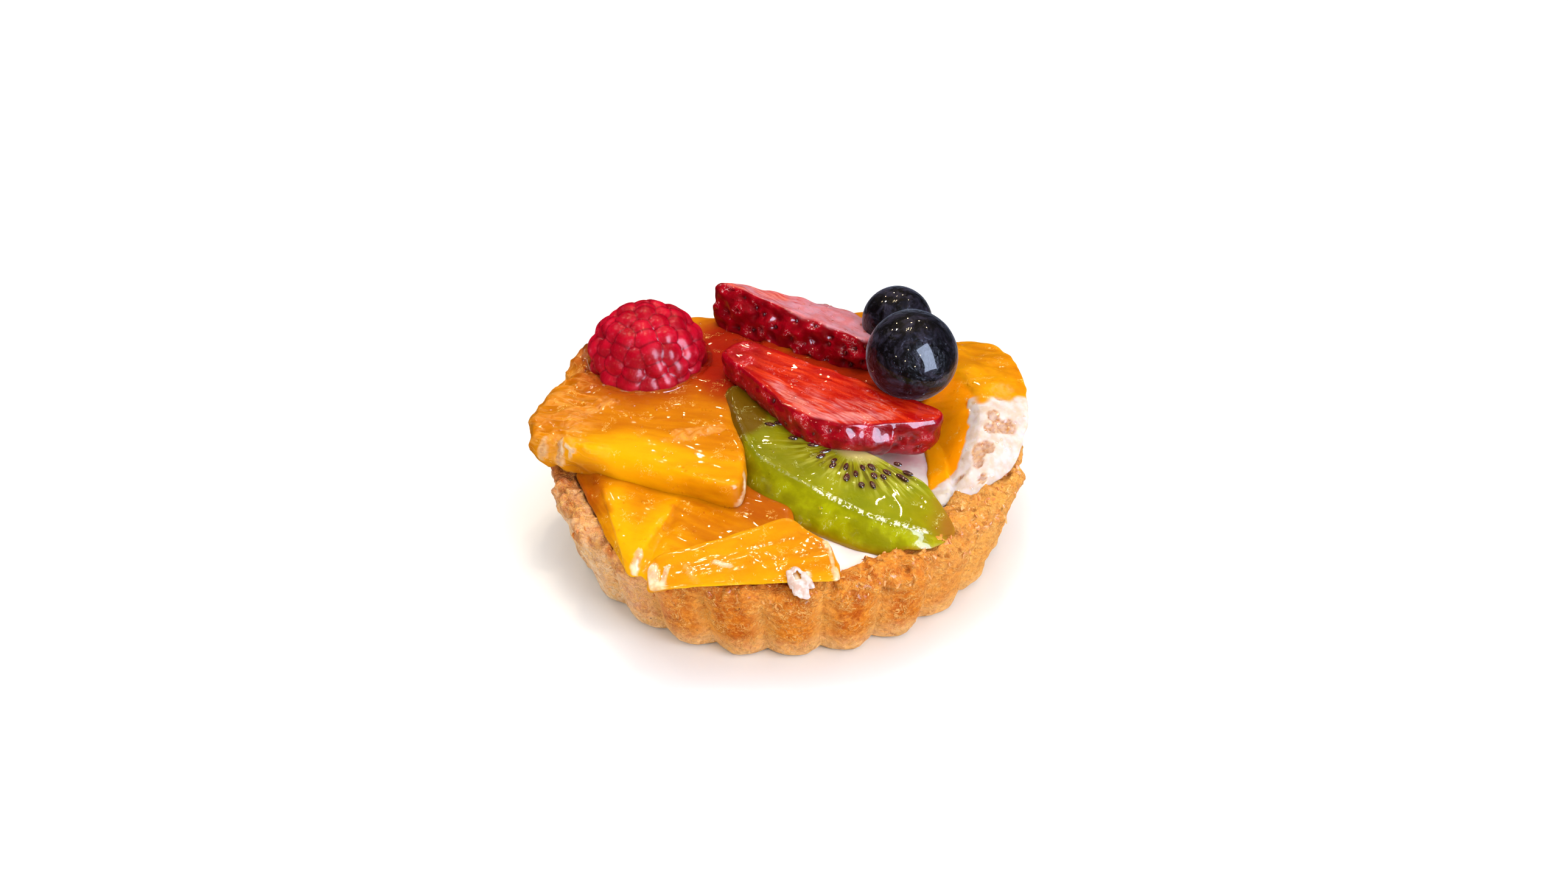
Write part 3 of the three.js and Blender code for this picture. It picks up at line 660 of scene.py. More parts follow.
    # Where a slice lies in the shade of the berries, painted shade makes it amber to red
    amber, red = 0 * x, 0 * x
    if name not in ("orange_front", "orange_right"):
        foot = away(placed, (-23.2, 17.4, 24.5), [1, 1, 0.6]) + 1.2 * lumps(placed, 3, 14)
        amber = np.max([
            smooth(17, 10.5, foot) * smooth(30, 20, py), smooth(10, 4, away(placed, (-8, 9, 24))),
            0.75 * smooth(7.5, 4, away(placed, (-3, -18, 19.4))),
            0.8 * smooth(7, 2, away(placed, (-33.5, -11.5, 18), [1, 0.6, 1]))], axis=0)
        red = smooth(13, 6.5, away(placed, (-8, 18, 24), [1, 0.8, 1]))
    # The back slice is painted dark red, as shade, on its front part under the strawberries
    if name == "orange_back":
        red = np.maximum(red, smooth(21, 17, py))
    placed = placed + outward(placed) * relief[..., None]
    marks = {
        "sacs": sacs * MM, "paint": joined(np.clip(bright, 0, 1), pith, tan),
        "shade": joined(amber, red, ruffle)}
    if name == "orange_right":
        marks["membrane"] = membrane
    return skin(name + "_flesh", placed, marks)


def shared_effect(name, output, inputs):
    """An empty shader group that takes a Place and some numbers, what they start as, and its outlet."""
    group = bpy.data.node_groups.new(name, "ShaderNodeTree")
    socket = group.interface.new_socket
    socket("Place", in_out="INPUT", socket_type="NodeSocketVector")
    for key, value in inputs.items():
        socket(key, in_out="INPUT", socket_type="NodeSocketFloat").default_value = value
    socket(output, in_out="OUTPUT", socket_type="NodeSocketFloat")
    given = group.nodes.new("NodeGroupInput").outputs
    return Recipe(group, given["Place"]), given, group.nodes.new("NodeGroupOutput").inputs[output]


def glaze_film():
    """The set glaze: a skin that ripples slowly, with small drops and bubbles standing in it."""
    mix, given, outlet = shared_effect(
        "glaze_film", "Height", {"Ripple size mm": 2.0, "Ripple": 1.0, "Drops": 1.0})

    def ripple(scale, bend):
        values = {"Vector": mix.place, "Scale": scale, "Detail": 2.0, "Distortion": bend}
        return mix.node("TexNoise", values).outputs["Fac"]

    scale = mix.maths("DIVIDE", 1000.0, given["Ripple size mm"])
    both = mix.plus(ripple(scale, 0.4), mix.times(ripple(mix.times(scale, 2.8), 0.6), 0.45))
    drop = mix.between(mix.cells(0.9)["Distance"], 0.34, 0.1)
    drops = mix.times(mix.times(drop, mix.between(mix.noise(3.5), 0.56, 0.7)), given["Drops"])
    mix.tree.links.new(mix.plus(mix.times(both, given["Ripple"]), drops), outlet)
    return mix.tree


def painted_glint_group():
    """Painted glints: thin pale squiggles and dots on the glaze, in the patches where a slow noise
    is over Least."""
    mix, given, outlet = shared_effect("painted_glint_flecks", "Mask", {"Size mm": 1.5, "Least": 0.55})
    scale = mix.maths("DIVIDE", 1000.0, given["Size mm"])
    values = {"Vector": mix.place, "Scale": scale, "Detail": 2.0, "Distortion": 1.8}
    line = mix.between(mix.lines(mix.node("TexNoise", values).outputs["Fac"]), 0.02, 0.006)
    values = {"Vector": mix.place, "Scale": mix.times(scale, 0.5), "Detail": 3.0}
    patch = mix.node("TexNoise", values).outputs["Fac"]
    patch = mix.between(patch, given["Least"], mix.plus(given["Least"], 0.06))
    dots = mix.node("TexVoronoi", {"Vector": mix.place, "Scale": scale}).outputs["Distance"]
    both = mix.maths("MAXIMUM", line, mix.between(dots, 0.2, 0.13))
    mix.tree.links.new(mix.times(both, patch), outlet)
    return mix.tree


GLAZE, PAINTED_GLINTS = glaze_film(), painted_glint_group()

look = Look(
    "orange_flesh", Roughness=0.5, Subsurface_Weight=0.45, Subsurface_Scale=0.003,
    Subsurface_Radius=(1.0, 0.65, 0.05), Coat_Weight=0.5, Coat_Roughness=0.04, Coat_IOR=1.42,
    Specular_IOR_Level=0.05)
sacs = look.mark("sacs", "Vector")
bright, pith, tan = look.parts(look.mark("paint", "Vector"))
amber, red, ruffle = look.parts(look.mark("shade", "Vector"))
long_streaks, thin_streaks = look.noise(1.7, 2, 0.5, 0.2, sacs), look.noise(0.5, 3, 0.6, at=sacs)
crinkle = look.times(look.between(look.lines(look.noise(1 / 0.33, bend=1.4, at=sacs)), 0.05, 0.0), ruffle)
mottle = look.between(look.noise(1.6, 4), 0.36, 0.66)
far_right = look.between(look.parts(look.place)["X"], 15 * MM, 20 * MM)
pith_colour = look.coats(
    look.tint(mottle, (232, 216, 192), (212, 174, 130)),
    (far_right, 1, look.tint(mottle, (210, 202, 206), (200, 182, 172))),
    (tan, 1, look.mottled(0.5, 3, 0.4, 0.6, (190, 134, 66), (158, 92, 26))))
colour = look.coats(
    look.tint(look.between(long_streaks, 0.3, 0.7), (180, 102, 0), (192, 116, 0)),
    (look.plus(bright, look.swing(long_streaks, 0.36)), 0.1, 0.95, 1.0, (232, 164, 0)),
    (thin_streaks, 0.56, 0.75, 0.12, (238, 170, 10)),
    (thin_streaks, 0.44, 0.28, 0.08, (172, 84, 0)),
    (amber, 0.85, (150, 56, 2)),
    (red, 0.95, (152, 18, 4)),
    (crinkle, 0.2, (244, 190, 98)),
    (look.times(tan, look.between(look.noise(1.5, 4, 0.6, 1.0), 0.38, 0.62, 0.1, 0.6)), 1, (232, 166, 92)),
    (look.mark("membrane"), 1, (255, 154, 0)),
    (look.group(PAINTED_GLINTS, 1.3, 0.57), 0.6, (252, 214, 120)),
    (pith, 1, pith_colour))
streak_height = look.plus(look.times(long_streaks, 0.2), look.times(crinkle, 0.5))
look.dress(colour, look.plus(look.group(GLAZE, 1.3, 0.4, 0.6), streak_height), 0.6, 0.4)

for name, s in ORANGES.items():
    finished(orange_slice(name, s), look, "orange", name)

# ---- The kiwi ----
# A peeled kiwi, cut into a thick slice. Pale rays run out from its core between rows of small dark
# seeds, and the cut edge slopes down to the cream and the rim.

KIWI = dict(
    at=(10.9, -8.8, 22.8), normal=(0.086, -0.069, 1), along=(0.78, -0.63, 0), thickness=6, soft=0.9,
    oval=(0, 0, 25.5, 13.5), flare=0.5, anchor=(1, -5.5), power=16, bulge=0.3, rough=0.16, size=9, seed=10,
    cuts=[(-90, 12.2, 1.4), (-126, 16.6, 0.5), (-43, 22.2, 0.5), (0, 23.8, 0), (68, 6.5, 0), (90, 1.3, 0)],
    bumps=[(25, -4, -3.4, 7)], crisp=[(-80, 70, 0.5)])
# The oval that the seeds lie round, and where each seed lies on the face
CORE = (-0.4, 0.6, 11.5, 6.8)
SEEDS = [
    (-13.9, -4.3), (-13.0, -3.1), (-8.8, -4.6), (-5.2, -3.8), (-2.7, -3.8), (-2.5, -5.3), (-0.2, -4.8),
    (0.4, -5.9), (2.2, -4.7), (3.9, -6.8), (4.5, -5.1), (6.8, -6.7), (4.4, -3.1), (5.4, -2.0), (8.2, -5.5),
    (7.0, -3.5), (8.3, -2.7), (8.1, -1.4), (10.5, -0.8), (10.8, 0.7), (11.3, -0.9), (8.2, 1.5),
    (-11.2, -2.4), (-6.9, -2.9)]

rings, share, depth = slice_rings(KIWI, columns=320, face=70)
x, y = rings[..., 0], rings[..., 1]
from_core = (x - CORE[0]) / CORE[2], (y - CORE[1]) / CORE[3]
ray_run = np.hypot(*from_core)
rays = joined(np.arctan2(*from_core[::-1]) * 9, ray_run * 0.9, 0)
near_seed = np.min([np.hypot(x - sx, y - sy) + 3 * (depth > 1) for sx, sy in SEEDS], axis=0)
relief = 0.05 * lumps(rays, 0.5, 3) * smooth(0.4, 0.8, ray_run) + 0.12 * lumps(rings, 3, 5)
relief += 0.15 * smooth(0.3, 3, depth) * lumps(rings * [0.5, 1, 1], 2.2, 8)
edge = hump(depth - 0.2, 0.26) * smooth(0.965, 0.99, share) * (y < -4)
relief += edge * (0.06 + 0.1 * lumps(rings, 1.0, 12))
edge = edge * (0.45 + 0.55 * smooth(0, 4, x)) * smooth(22, 20, x)
rings = rings + outward(rings) * relief[..., None]
placed = rested(laid(rings, KIWI), depth, KIWI)
end_glow = smooth(9, 4, away(placed, (25.5, -24.5, 19.5)) + lumps(placed, 3, 2))
# The left end is painted darker, as shade, and brown at its tip
left_dark = smooth(-13, -17, x + 1.5 * lumps(placed, 3, 6))
left_dark += 0.7 * smooth(0.3, 2.5, depth) * smooth(-7, -15, x)
left_dark = np.clip(left_dark + 0.4 * smooth(5, -7, x), 0, 1)
tip = 0.85 * smooth(7, 2, away(placed, (28.2, -24.0, 18.0)) + 1.2 * lumps(placed, 2.0, 4))
kiwi = skin("kiwi_flesh", placed, {
    "rays": rays, "run": ray_run, "down": depth, "tip": tip, "ridge": edge,
    "paint": joined(hump(near_seed, 0.95), end_glow, left_dark)})

look = Look(
    "kiwi_flesh", Roughness=0.3, Subsurface_Weight=0.4, Subsurface_Scale=0.003,
    Subsurface_Radius=(0.7, 1.0, 0.1), Coat_Weight=0.5, Coat_Roughness=0.04, Specular_IOR_Level=0.1)
run, down = look.mark("run"), look.mark("down")
by_seed, end_glow, left_dark = look.parts(look.mark("paint", "Vector"))
ray_noise = look.noise(1 / 1.6, at=look.mark("rays", "Vector"), unit=1)
ray_ring = look.times(look.between(run, 0.3, 0.7), look.between(run, 1.7, 1.1))
dark_ring = look.times(look.between(run, 0.45, 0.7), look.between(run, 1.3, 1.0))
shaded = look.tint(look.between(left_dark, 0.45, 1.0), (92, 76, 2), (88, 48, 2))
# Painted glints lie along the front edge, as pale flecks
ridge_glints = look.between(look.noise(0.7, 3.0, bend=1.2), 0.5, 0.55)
flesh = look.coats(
    look.mottled(4, 3, 0.3, 0.7, (120, 126, 3), (140, 142, 6)),
    (look.times(look.between(ray_noise, 0.5, 0.62), ray_ring), 0.5, (188, 192, 84)),
    (look.times(look.between(ray_noise, 0.5, 0.38), dark_ring), 0.85, (86, 80, 8)),
    (run, 0.62, 0.3, 0.75, (198, 184, 128)),
    (by_seed, 0.7, (96, 66, 22)),
    (down, 0.2, 1.0, 1.0, look.mottled(2.6, 3, 0.36, 0.64, (138, 140, 1), (162, 168, 5))),
    (down, 3.6, 5.8, 0.75, (146, 102, 2)),
    (end_glow, 0.35, (150, 128, 10)),
    (left_dark, 0.85, shaded),
    (look.mark("tip"), 1, (150, 92, 30)),
    (look.times(ridge_glints, look.between(look.mark("ridge"), 0.3, 0.9)), 0.85, (240, 240, 222)),
    (look.group(PAINTED_GLINTS, 1.3, 0.585), 0.6, (222, 226, 150)))
look.dress(flesh, look.group(GLAZE, 1.6, 0.5, 0.6), 0.55, 0.4)
finished(kiwi, look, "kiwi", "kiwi")


def seed_tree():
    """Puts a seed on each point of a cloud, turned and sized by the point's own attributes."""
    tree = bpy.data.node_groups.new("seeds_on_points", "GeometryNodeTree")
    for key, kind in {"Geometry": "Geometry", "Length": "Float", "Width": "Float", "Height": "Float",
                      "Unevenness": "Float", "Detail": "Int", "Finish": "Material"}.items():
        tree.interface.new_socket(key, in_out="INPUT", socket_type="NodeSocket" + kind)
    tree.interface.new_socket("Geometry", in_out="OUTPUT", socket_type="NodeSocketGeometry")
    given = tree.nodes.new("NodeGroupInput").outputs
    mix = Recipe(tree, None)

    def step(kind, inputs):
        return mix.fill(tree.nodes.new("GeometryNode" + kind), inputs)

    def attribute(name):
        made = step("InputNamedAttribute", {"Name": name})
        made.data_type = "FLOAT_VECTOR"
        return made.outputs["Attribute"]

    sizes = mix.node("CombineXYZ", {0: given["Length"], 1: given["Width"], 2: given["Height"]}).outputs[0]
    ball = step("MeshIcoSphere", {"Radius": 0.5, "Subdivisions": given["Detail"]}).outputs["Mesh"]
    shaped = step("Transform", {"Geometry": ball, "Scale": sizes}).outputs[0]
    points = step("MeshToPoints", {"Mesh": given["Geometry"]}).outputs[0]
    placed = step("InstanceOnPoints", {"Points": points, "Instance": shaped, "Rotation": attribute("turn"),
                                       "Scale": attribute("size")}).outputs[0]
    real = step("RealizeInstances", {"Geometry": placed}).outputs[0]
    wrinkle = mix.node("TexNoise", {"Scale": 1 / (0.8 * MM), "Detail": 1.0}).outputs["Color"]
    middle = mix.node("VectorMath", {0: wrinkle, 1: (0.5, 0.5, 0.5)}, operation="SUBTRACT").outputs[0]
    shift = mix.node("VectorMath", {0: middle, "Scale": given["Unevenness"]}, operation="SCALE").outputs[0]
    rough = step("SetPosition", {"Geometry": real, "Offset": shift}).outputs[0]
    even = step("SetShadeSmooth", {"Geometry": rough}).outputs[0]
    coated = step("SetMaterial", {"Geometry": even, "Material": given["Finish"]}).outputs[0]
    tree.links.new(coated, tree.nodes.new("NodeGroupOutput").inputs[0])
    return tree


SEED_TREE = seed_tree()


def facing(ways):
    """The turn that lays a seed flat on a surface, for each way that the surface faces."""
    return [Vector(way).to_track_quat("Z", "X").to_euler() for way in ways]


def seeded(name, spots, turns, sizes, look, size_mm, unevenness_mm, detail):
    """A plain piece made of one small ball, stretched to size_mm, on each spot."""
    cloud = new_mesh(name + "_places", spots, [], {"turn": turns, "size": sizes})
    carrier = in_scene(name + "_points", cloud)
    modifier = carrier.modifiers.new("made", "NODES")
    modifier.node_group = SEED_TREE
    measures = [v * MM for v in (*size_mm, unevenness_mm)]
    values = dict(zip(("Length", "Width", "Height", "Unevenness"), measures))
    values.update({"Detail": detail, "Finish": look.material})
    for item in SEED_TREE.interface.items_tree:
        if item.in_out == "INPUT" and item.name in values:
            modifier[item.identifier] = values[item.name]
    depsgraph = bpy.context.evaluated_depsgraph_get()
    mesh = bpy.data.meshes.new_from_object(carrier.evaluated_get(depsgraph))
    mesh.name = name
    bpy.data.objects.remove(carrier)
    return in_scene(name, mesh)


look = Look("kiwi_seed", Roughness=0.25, Coat_Weight=0.8, Coat_Roughness=0.05)
look.dress(look.mottled(0.5, 2, 0.35, 0.65, (30, 12, 14), (74, 34, 24)), look.noise(0.3), 0.2, 0.1)
basis = laid(np.eye(3), KIWI) - laid(np.zeros((1, 3)), KIWI)
heading = math.atan2(basis[0][1], basis[0][0])
seeds = seeded(
    "kiwi_seeds", laid(np.array([(sx, sy, 0.02) for sx, sy in SEEDS]), KIWI),
    [(0, 0, heading + math.atan2(sy - CORE[1], sx - CORE[0])) for sx, sy in SEEDS],
    [[1 + 0.18 * math.sin(5 * i), 1 + 0.12 * math.sin(3 * i), 1] for i in range(len(SEEDS))],
    look, size_mm=(1.9, 0.95, 0.6), unevenness_mm=0.15, detail=3)
finished(seeds, look, "kiwi", "kiwi")

# ---- Pith on the front slice ----
# A torn scrap of white pith hangs from the edge of the front slice of orange and lies on the rim. It is
# a web with one hole in it and ragged tips.


def round_the_hole(step):
    """Degrees round a circle, and the points of a circle of radius 1."""
    degrees = np.arange(0, 360, step)
    return degrees, polar(1, np.radians(degrees), 0)


def band(name, inner, outer, thick, place):
    """A closed band round a hole, from its inner and outer radius and its thickness all the way round."""
    inner, outer, thick = (np.reshape(values, (-1, 1)) for values in (inner, outer, thick))
    turn = full_turn(len(inner)).T
    section = full_turn(28)
    out = (inner + outer) / 2 + (outer - inner) / 2 * np.cos(section)
    rings = place(polar(out, turn, thick / 2 * np.sin(section)))
    grid = np.arange(rings.shape[0] * rings.shape[1]).reshape(rings.shape[:2])
    ahead, beside = np.roll(grid, -1, axis=0), np.roll(grid, -1, axis=1)
    faces = joined(grid, ahead, np.roll(ahead, -1, axis=1), beside).reshape(-1, 4)
    return in_scene(name, new_mesh(name, rings.reshape(-1, 3), faces.tolist(), {}))


def hung(points):
    """Ruffles the scrap and lays it over the edge of the slice."""
    torn = joined(*(lumps(points, 1.1, seed) for seed in (2, 3, 4)))
    return laid(points + 0.35 * torn * [0.6, 0.6, 1], {"normal": (0, -0.55, 1), "at": (1.0, -36.7, 18.3)})


look = Look(
    "orange_pith", Roughness=0.5, Subsurface_Weight=0.3, Subsurface_Scale=0.001, Coat_Weight=0.3,
    Coat_Roughness=0.08)
look.dress(look.mottled(1.0, 3, 0.4, 0.62, (204, 196, 198), (188, 160, 148)), look.noise(0.5, 3), 0.4, 0.2)
degrees, circle = round_the_hole(1.5)
outline = np.interp(degrees, [40, 90, 146, 190, 233, 262, 291, 308, 322, 348],
                    [1.3, 1.3, 1.9, 1.6, 2.1, 2.9, 4.0, 2.8, 3.4, 2.0], period=360)
outline = outline * (1 + 0.22 * lumps(circle * outline[:, None], 0.7, 5))
hole = 0.7 * (1 + 0.3 * lumps(circle * 3, 1.5, 6))
tag = band("orange_pith_tag", hole, outline, 0.5 + 0 * outline, hung)
finished(tag, look, "orange", "orange_front")

# ---- The strawberries ----
# Two thick lengthways slices. The cut face is orange-red with pale fibres that run to the skin, and the
# skin is crimson, glossy under its glaze and dimpled where each small dry seed sits.

STRAWBERRIES = {
    "strawberry_front": dict(
        at=(5, -1.5, 28.3), normal=(0.1, -0.02, 1), along=(0.887, -0.46, 0), thickness=6.2, taper=0.01,
        soft=0.8, oval=(1, 4, 21.5, 9.5), anchor=(1, 2), power=17, bulge=0.8, rough=0.22, size=5, seed=11,
        cuts=[(-116, 5.4, -0.1), (-56, 8.2, -0.15), (0, 21, -0.25), (88, 8.6, 0), (180, 19.2, 0)],
        dimple=0.28, spacing=3.4, bare=0.1),
    "strawberry_back": dict(
        at=(2, 22, 30.9), normal=(0.217, 0.15, 1), along=(0.84, -0.54, 0), thickness=8, taper=-0.006,
        soft=1.5, oval=(1, 3.6, 19.5, 8.5), anchor=(4, 3), power=9, bulge=0.6, rough=0.4, size=5, seed=12,
        cuts=[(-90, 1.6, 0), (114, 5.8, 0), (80, 9.5, 0), (0, 16.5, 0), (180, 19.3, 0), (-150, 17.4, -0.35)],
        dimple=0.75, spacing=2.9, bare=-0.2),
}

seed_look = Look("strawberry_seed", Roughness=0.4, Coat_Weight=0.25, Coat_Roughness=0.1)
seed_look.dress(
    seed_look.mottled(1.5, 2, 0.45, 0.65, (76, 2, 8), (128, 30, 20)), seed_look.noise(0.2), 0.2, 0.1)

look = Look(
    "strawberry_flesh", Roughness=0.3, Subsurface_Weight=0.3, Subsurface_Scale=0.0025,
    Subsurface_Radius=(1.0, 0.16, 0.1), Coat_Weight=0.5, Coat_Roughness=0.03, Specular_IOR_Level=0.1)
fibre = look.mark("fibre", "Vector")
on_face, in_pit, pale = look.parts(look.mark("paint", "Vector"))
fibres = look.noise(1 / 0.7, 3.0, 0.6, 0.5, fibre, unit=1)
fine_fibres = look.noise(1 / 2.1, 3.0, 0.55, 0.35, fibre, unit=1)
patches = look.noise(2.4, 3)
# The skin is patchy crimson, with painted shade in the pits
skin_colour = look.coats(
    look.tint(look.between(patches, 0.35, 0.7), (120, 0, 12), (168, 0, 26)), (in_pit, 0.6, (84, 0, 12)))
soft_patches = look.between(patches, 0.35, 0.65)
peach = look.coats(
    look.tint(soft_patches, (216, 148, 154), (222, 136, 122)),
    (pale, 0.75, 0.9, 1.0, look.tint(soft_patches, (196, 148, 170), (196, 122, 134))))
face = look.coats(
    look.tint(look.between(fibres, 0.38, 0.64), (164, 10, 6), (196, 44, 12)),
    (fibres, 0.53, 0.72, 0.35, (226, 90, 48)),
    (look.plus(pale, look.swing(fine_fibres, 1.3)), 0.35, 1.1, 0.85, peach),
    (fine_fibres, 0.42, 0.26, 0.3, (156, 6, 12)))
# Painted glints: pale squiggles and dots, stronger on the skin than on the face
skin_glints = look.times(look.group(PAINTED_GLINTS, 1.2, 0.56), look.between(on_face, 0.0, 1.0, 0.6, 0.3))
colour = look.coats(skin_colour, (on_face, 1, face), (skin_glints, 1, (234, 190, 200)))
look.dress(colour, look.group(GLAZE, 1.6, 0.6, 0.5), 0.6, 0.4)

FACE_ROWS = 54


def pitted(s, rings, share, depth, normal):
    """How far each point lies from the nearest pit, and a place and a way for the seed in it. The pits
    are spread unevenly over the skin."""
    edge_ring = rings[FACE_ROWS + ROUNDED_ROWS + 1]
    perimeter = np.cumsum(np.linalg.norm(np.diff(edge_ring, axis=0, append=edge_ring[:1]), axis=-1))
    along = (perimeter - perimeter[0])[None, :] + 0 * depth
    total, spacing = perimeter[-1], s["spacing"]
    count = int(total / spacing)
    pit, seeds = np.full(depth.shape, 9.0), []
    for row in range(round(s["thickness"] / (0.8 * spacing))):
        for k in range(count):
            u = (k + 0.5 * (row % 2) + 0.32 * math.sin(7.3 * k + 3.1 * row)) * total / count
            v = 0.6 * spacing + row * 0.8 * spacing + 0.3 * spacing * math.cos(5.1 * k + 1.7 * row)
            gap = np.abs(along - u % total)
            near = np.hypot(np.minimum(gap, total - gap), (depth - v) * 1.1)
            near = np.where((depth > 0.5) & (share > 0.99), near, 9) / (1 + 0.25 * math.sin(3 * k + row))
            pit = np.minimum(pit, near)
            where = np.unravel_index(np.argmin(near), near.shape)
            if near[where] < 0.6 and math.sin(4.7 * k + 2.9 * row) > s["bare"]:
                seeds.append((rings[where], normal[where]))
    return pit + 0.25 * lumps(rings, 1.2, 5), seeds


for name, s in STRAWBERRIES.items():
    rings, share, depth = slice_rings(s, columns=360, face=FACE_ROWS, side=40)
    x, y = rings[..., 0], rings[..., 1]
    normal = outward(rings)
    face = smooth(0.75, 0.95, normal[..., 2]) * (depth < 1.2)
    # How far each point lies inside the cuts along the near side of the face
    edge = np.min([distance - x * math.cos(math.radians(t)) - y * math.sin(math.radians(t))
                   for t, distance, _ in s["cuts"][:2] if t < 0], axis=0)
    pit, seeds = pitted(s, rings, share, depth, normal)
    relief = -s["dimple"] * hump(pit, 0.75)
    on_side = (1 - face) * smooth(0.2, 1.2, depth)
    dents = 0.8 * lumps(rings, 2.2, s["seed"]) + 0.3 * lumps(rings, 1.0, 4)
    relief += on_side * s["dimple"] * dents
    if name == "strawberry_front":
        swell = hump(x - 12.5, 7) * hump(depth - 3.4, 1.9) * (y < 0)
        relief = relief * (1 - 0.8 * swell) + 1.1 * swell
    else:
        relief += 1.8 * smooth(-12, -17, x) * np.sin(np.pi * depth / s["thickness"]) * (depth > 0)
    fibre = joined(x * 0.17, y * (1.15 - 0.015 * x) + 0.12 * x + 0.5 * lumps(rings, 7, 2), 0)
    relief += face * (0.04 * lumps(fibre, 0.9, 6) + 0.12 * lumps(rings, 4, 3))
    rings = rings + normal * relief[..., None]
    rag = 0.8 * lumps(rings * [0.3, 1, 1], 2, 9)
    if name == "strawberry_front":
        pale = 0.75 * smooth(4.6, 2.6, edge + rag) * smooth(0.5, 1.3, edge)
        pale = pale * smooth(17, 12, x) * smooth(-13, -5, x)
        pale = np.maximum(pale, 0.56 * smooth(11, 6, edge + rag) * smooth(16, 9, x) * smooth(-9, 1, x))
        face = face * (1 - 0.8 * smooth(-9, -16, x + rag))
    else:
        pale = 0.85 + 0.25 * rag + 0.25 * smooth(-6, 10, x)
    marks = {"fibre": fibre, "paint": joined(face, 0.9 * hump(pit, 0.6), pale)}
    finished(skin(name + "_flesh", laid(rings, s), marks), look, "strawberry", name)
    spots = laid(np.array([p - n * (s["dimple"] * 0.85) for p, n in seeds]), s)
    ways = laid(np.array([n for _, n in seeds]), s) - laid(np.zeros((1, 3)), s)
    sizes = [[0.9 + 0.15 * math.sin(k)] * 3 for k in range(len(spots))]
    achenes = seeded(
        name + "_seeds", spots, facing(ways), sizes, seed_look, size_mm=(0.85, 0.5, 0.35), unevenness_mm=0.1,
        detail=2)
    finished(achenes, seed_look, "strawberry", name)

# ---- The raspberry ----
# One raspberry, stood on its open end. Its drupelets are small juicy beads in close rows round a dome,
# with pale pink patches: a faint bloom and a painted hazy highlight.

RASPBERRY_AT, RASPBERRY_FOOT, RASPBERRY_CORE = np.array([-23.2, 17.4, 24.6]), 0.9, 7.6
DOME_RADIUS, DOME_HEIGHT = 8.25, 8.2
# Rows of drupelets from the foot up: degrees up the dome, how many and their radius
DRUPELETS = [(1, 16, 2.4), (19, 16, 2.4), (36, 14, 2.35), (52, 11, 2.3), (68, 7, 2.2), (86, 2, 2.2)]


def directions(top, bottom, rows, columns):
    """Ways out from a middle, in rows from top to bottom in degrees."""
    latitude = np.radians(np.linspace(top, bottom, rows))[:, None]
    return polar(np.cos(latitude), full_turn(columns), np.sin(latitude))


beads = []
for row, (latitude, count, bead) in enumerate(DRUPELETS):
    for i in range(count):
        turn = 2 * math.pi * (i + 0.5 * (row % 2) + 0.22 * math.sin(5.3 * i + 1.9 * row)) / count
        lat = math.radians(latitude + 3.2 * math.sin(3.1 * i + 2.3 * row))
        way = np.array([math.cos(lat) * math.cos(turn), math.cos(lat) * math.sin(turn), math.sin(lat)])
        out = 1 + 0.012 * math.sin(4 * i + row)
        radius = bead * (1 + 0.09 * math.sin(7 * i + 3 * row))
        beads.append((way * [DOME_RADIUS * out, DOME_RADIUS * out, DOME_HEIGHT * out], radius))
ways = directions(89.3, -7, 190, 480)
best, second = np.full(ways.shape[:2], RASPBERRY_CORE), np.full(ways.shape[:2], RASPBERRY_CORE)
for centre, bead in beads:
    along = ways @ centre
    left = bead**2 - centre @ centre + along**2
    reached = np.where(left > 0, along + np.sqrt(np.maximum(left, 0)), 0)
    second = np.maximum(second, np.minimum(best, reached))
    best = np.maximum(best, reached)
crease = best - second
outer = best - 0.25 + 0.25 * np.exp(-crease / 0.45) + 0.08 * lumps(ways * 10, 1.4, 3)
rings = ways * outer[..., None]
rings[..., 2] = np.maximum(rings[..., 2], -RASPBERRY_FOOT)
rings = rings + RASPBERRY_AT
raspberry = skin("raspberry_drupelets", rings, {"crease": np.exp(-crease / 0.3)})

look = Look(
    "raspberry_skin", Subsurface_Weight=0.35, Subsurface_Scale=0.002, Subsurface_Radius=(1.0, 0.12, 0.18),
    Coat_Weight=0.2, Coat_Roughness=0.2, Specular_IOR_Level=0.12)
# Pale pink patches, a faint bloom and a painted hazy highlight, where the skin is also rougher
bloom_and_highlight = look.noise(1.1, 4, 0.6)
colour = look.coats(
    look.mottled(3.5, 3, 0.35, 0.68, (150, 0, 24), (186, 6, 42)),
    (bloom_and_highlight, 0.54, 0.78, 0.4, (208, 84, 112)),
    # Painted shade darkens the creases between the drupelets
    (look.mark("crease"), 0.2, 0.9, 0.7, (112, 0, 18)))
look.dress(colour, look.group(GLAZE, 1.2, 0.6, 0.0), 0.4, 0.3)
look.fill(look.shader, {"Roughness": look.between(bloom_and_highlight, 0.3, 0.7, 0.26, 0.45)})
finished(raspberry, look, "raspberry", "raspberry")

# ---- The blueberries ----
# Two blueberries, almost black under the glaze. The skin is smooth with a faint grey bloom, and the
# little crown where the flower sat is turned to the back.

# The middle of each berry and its radius
BLUEBERRIES = {"blueberry_front": ((21.55, 4.4, 31.7), 7.7), "blueberry_back": ((19.9, 18.9, 29.3), 6.05)}

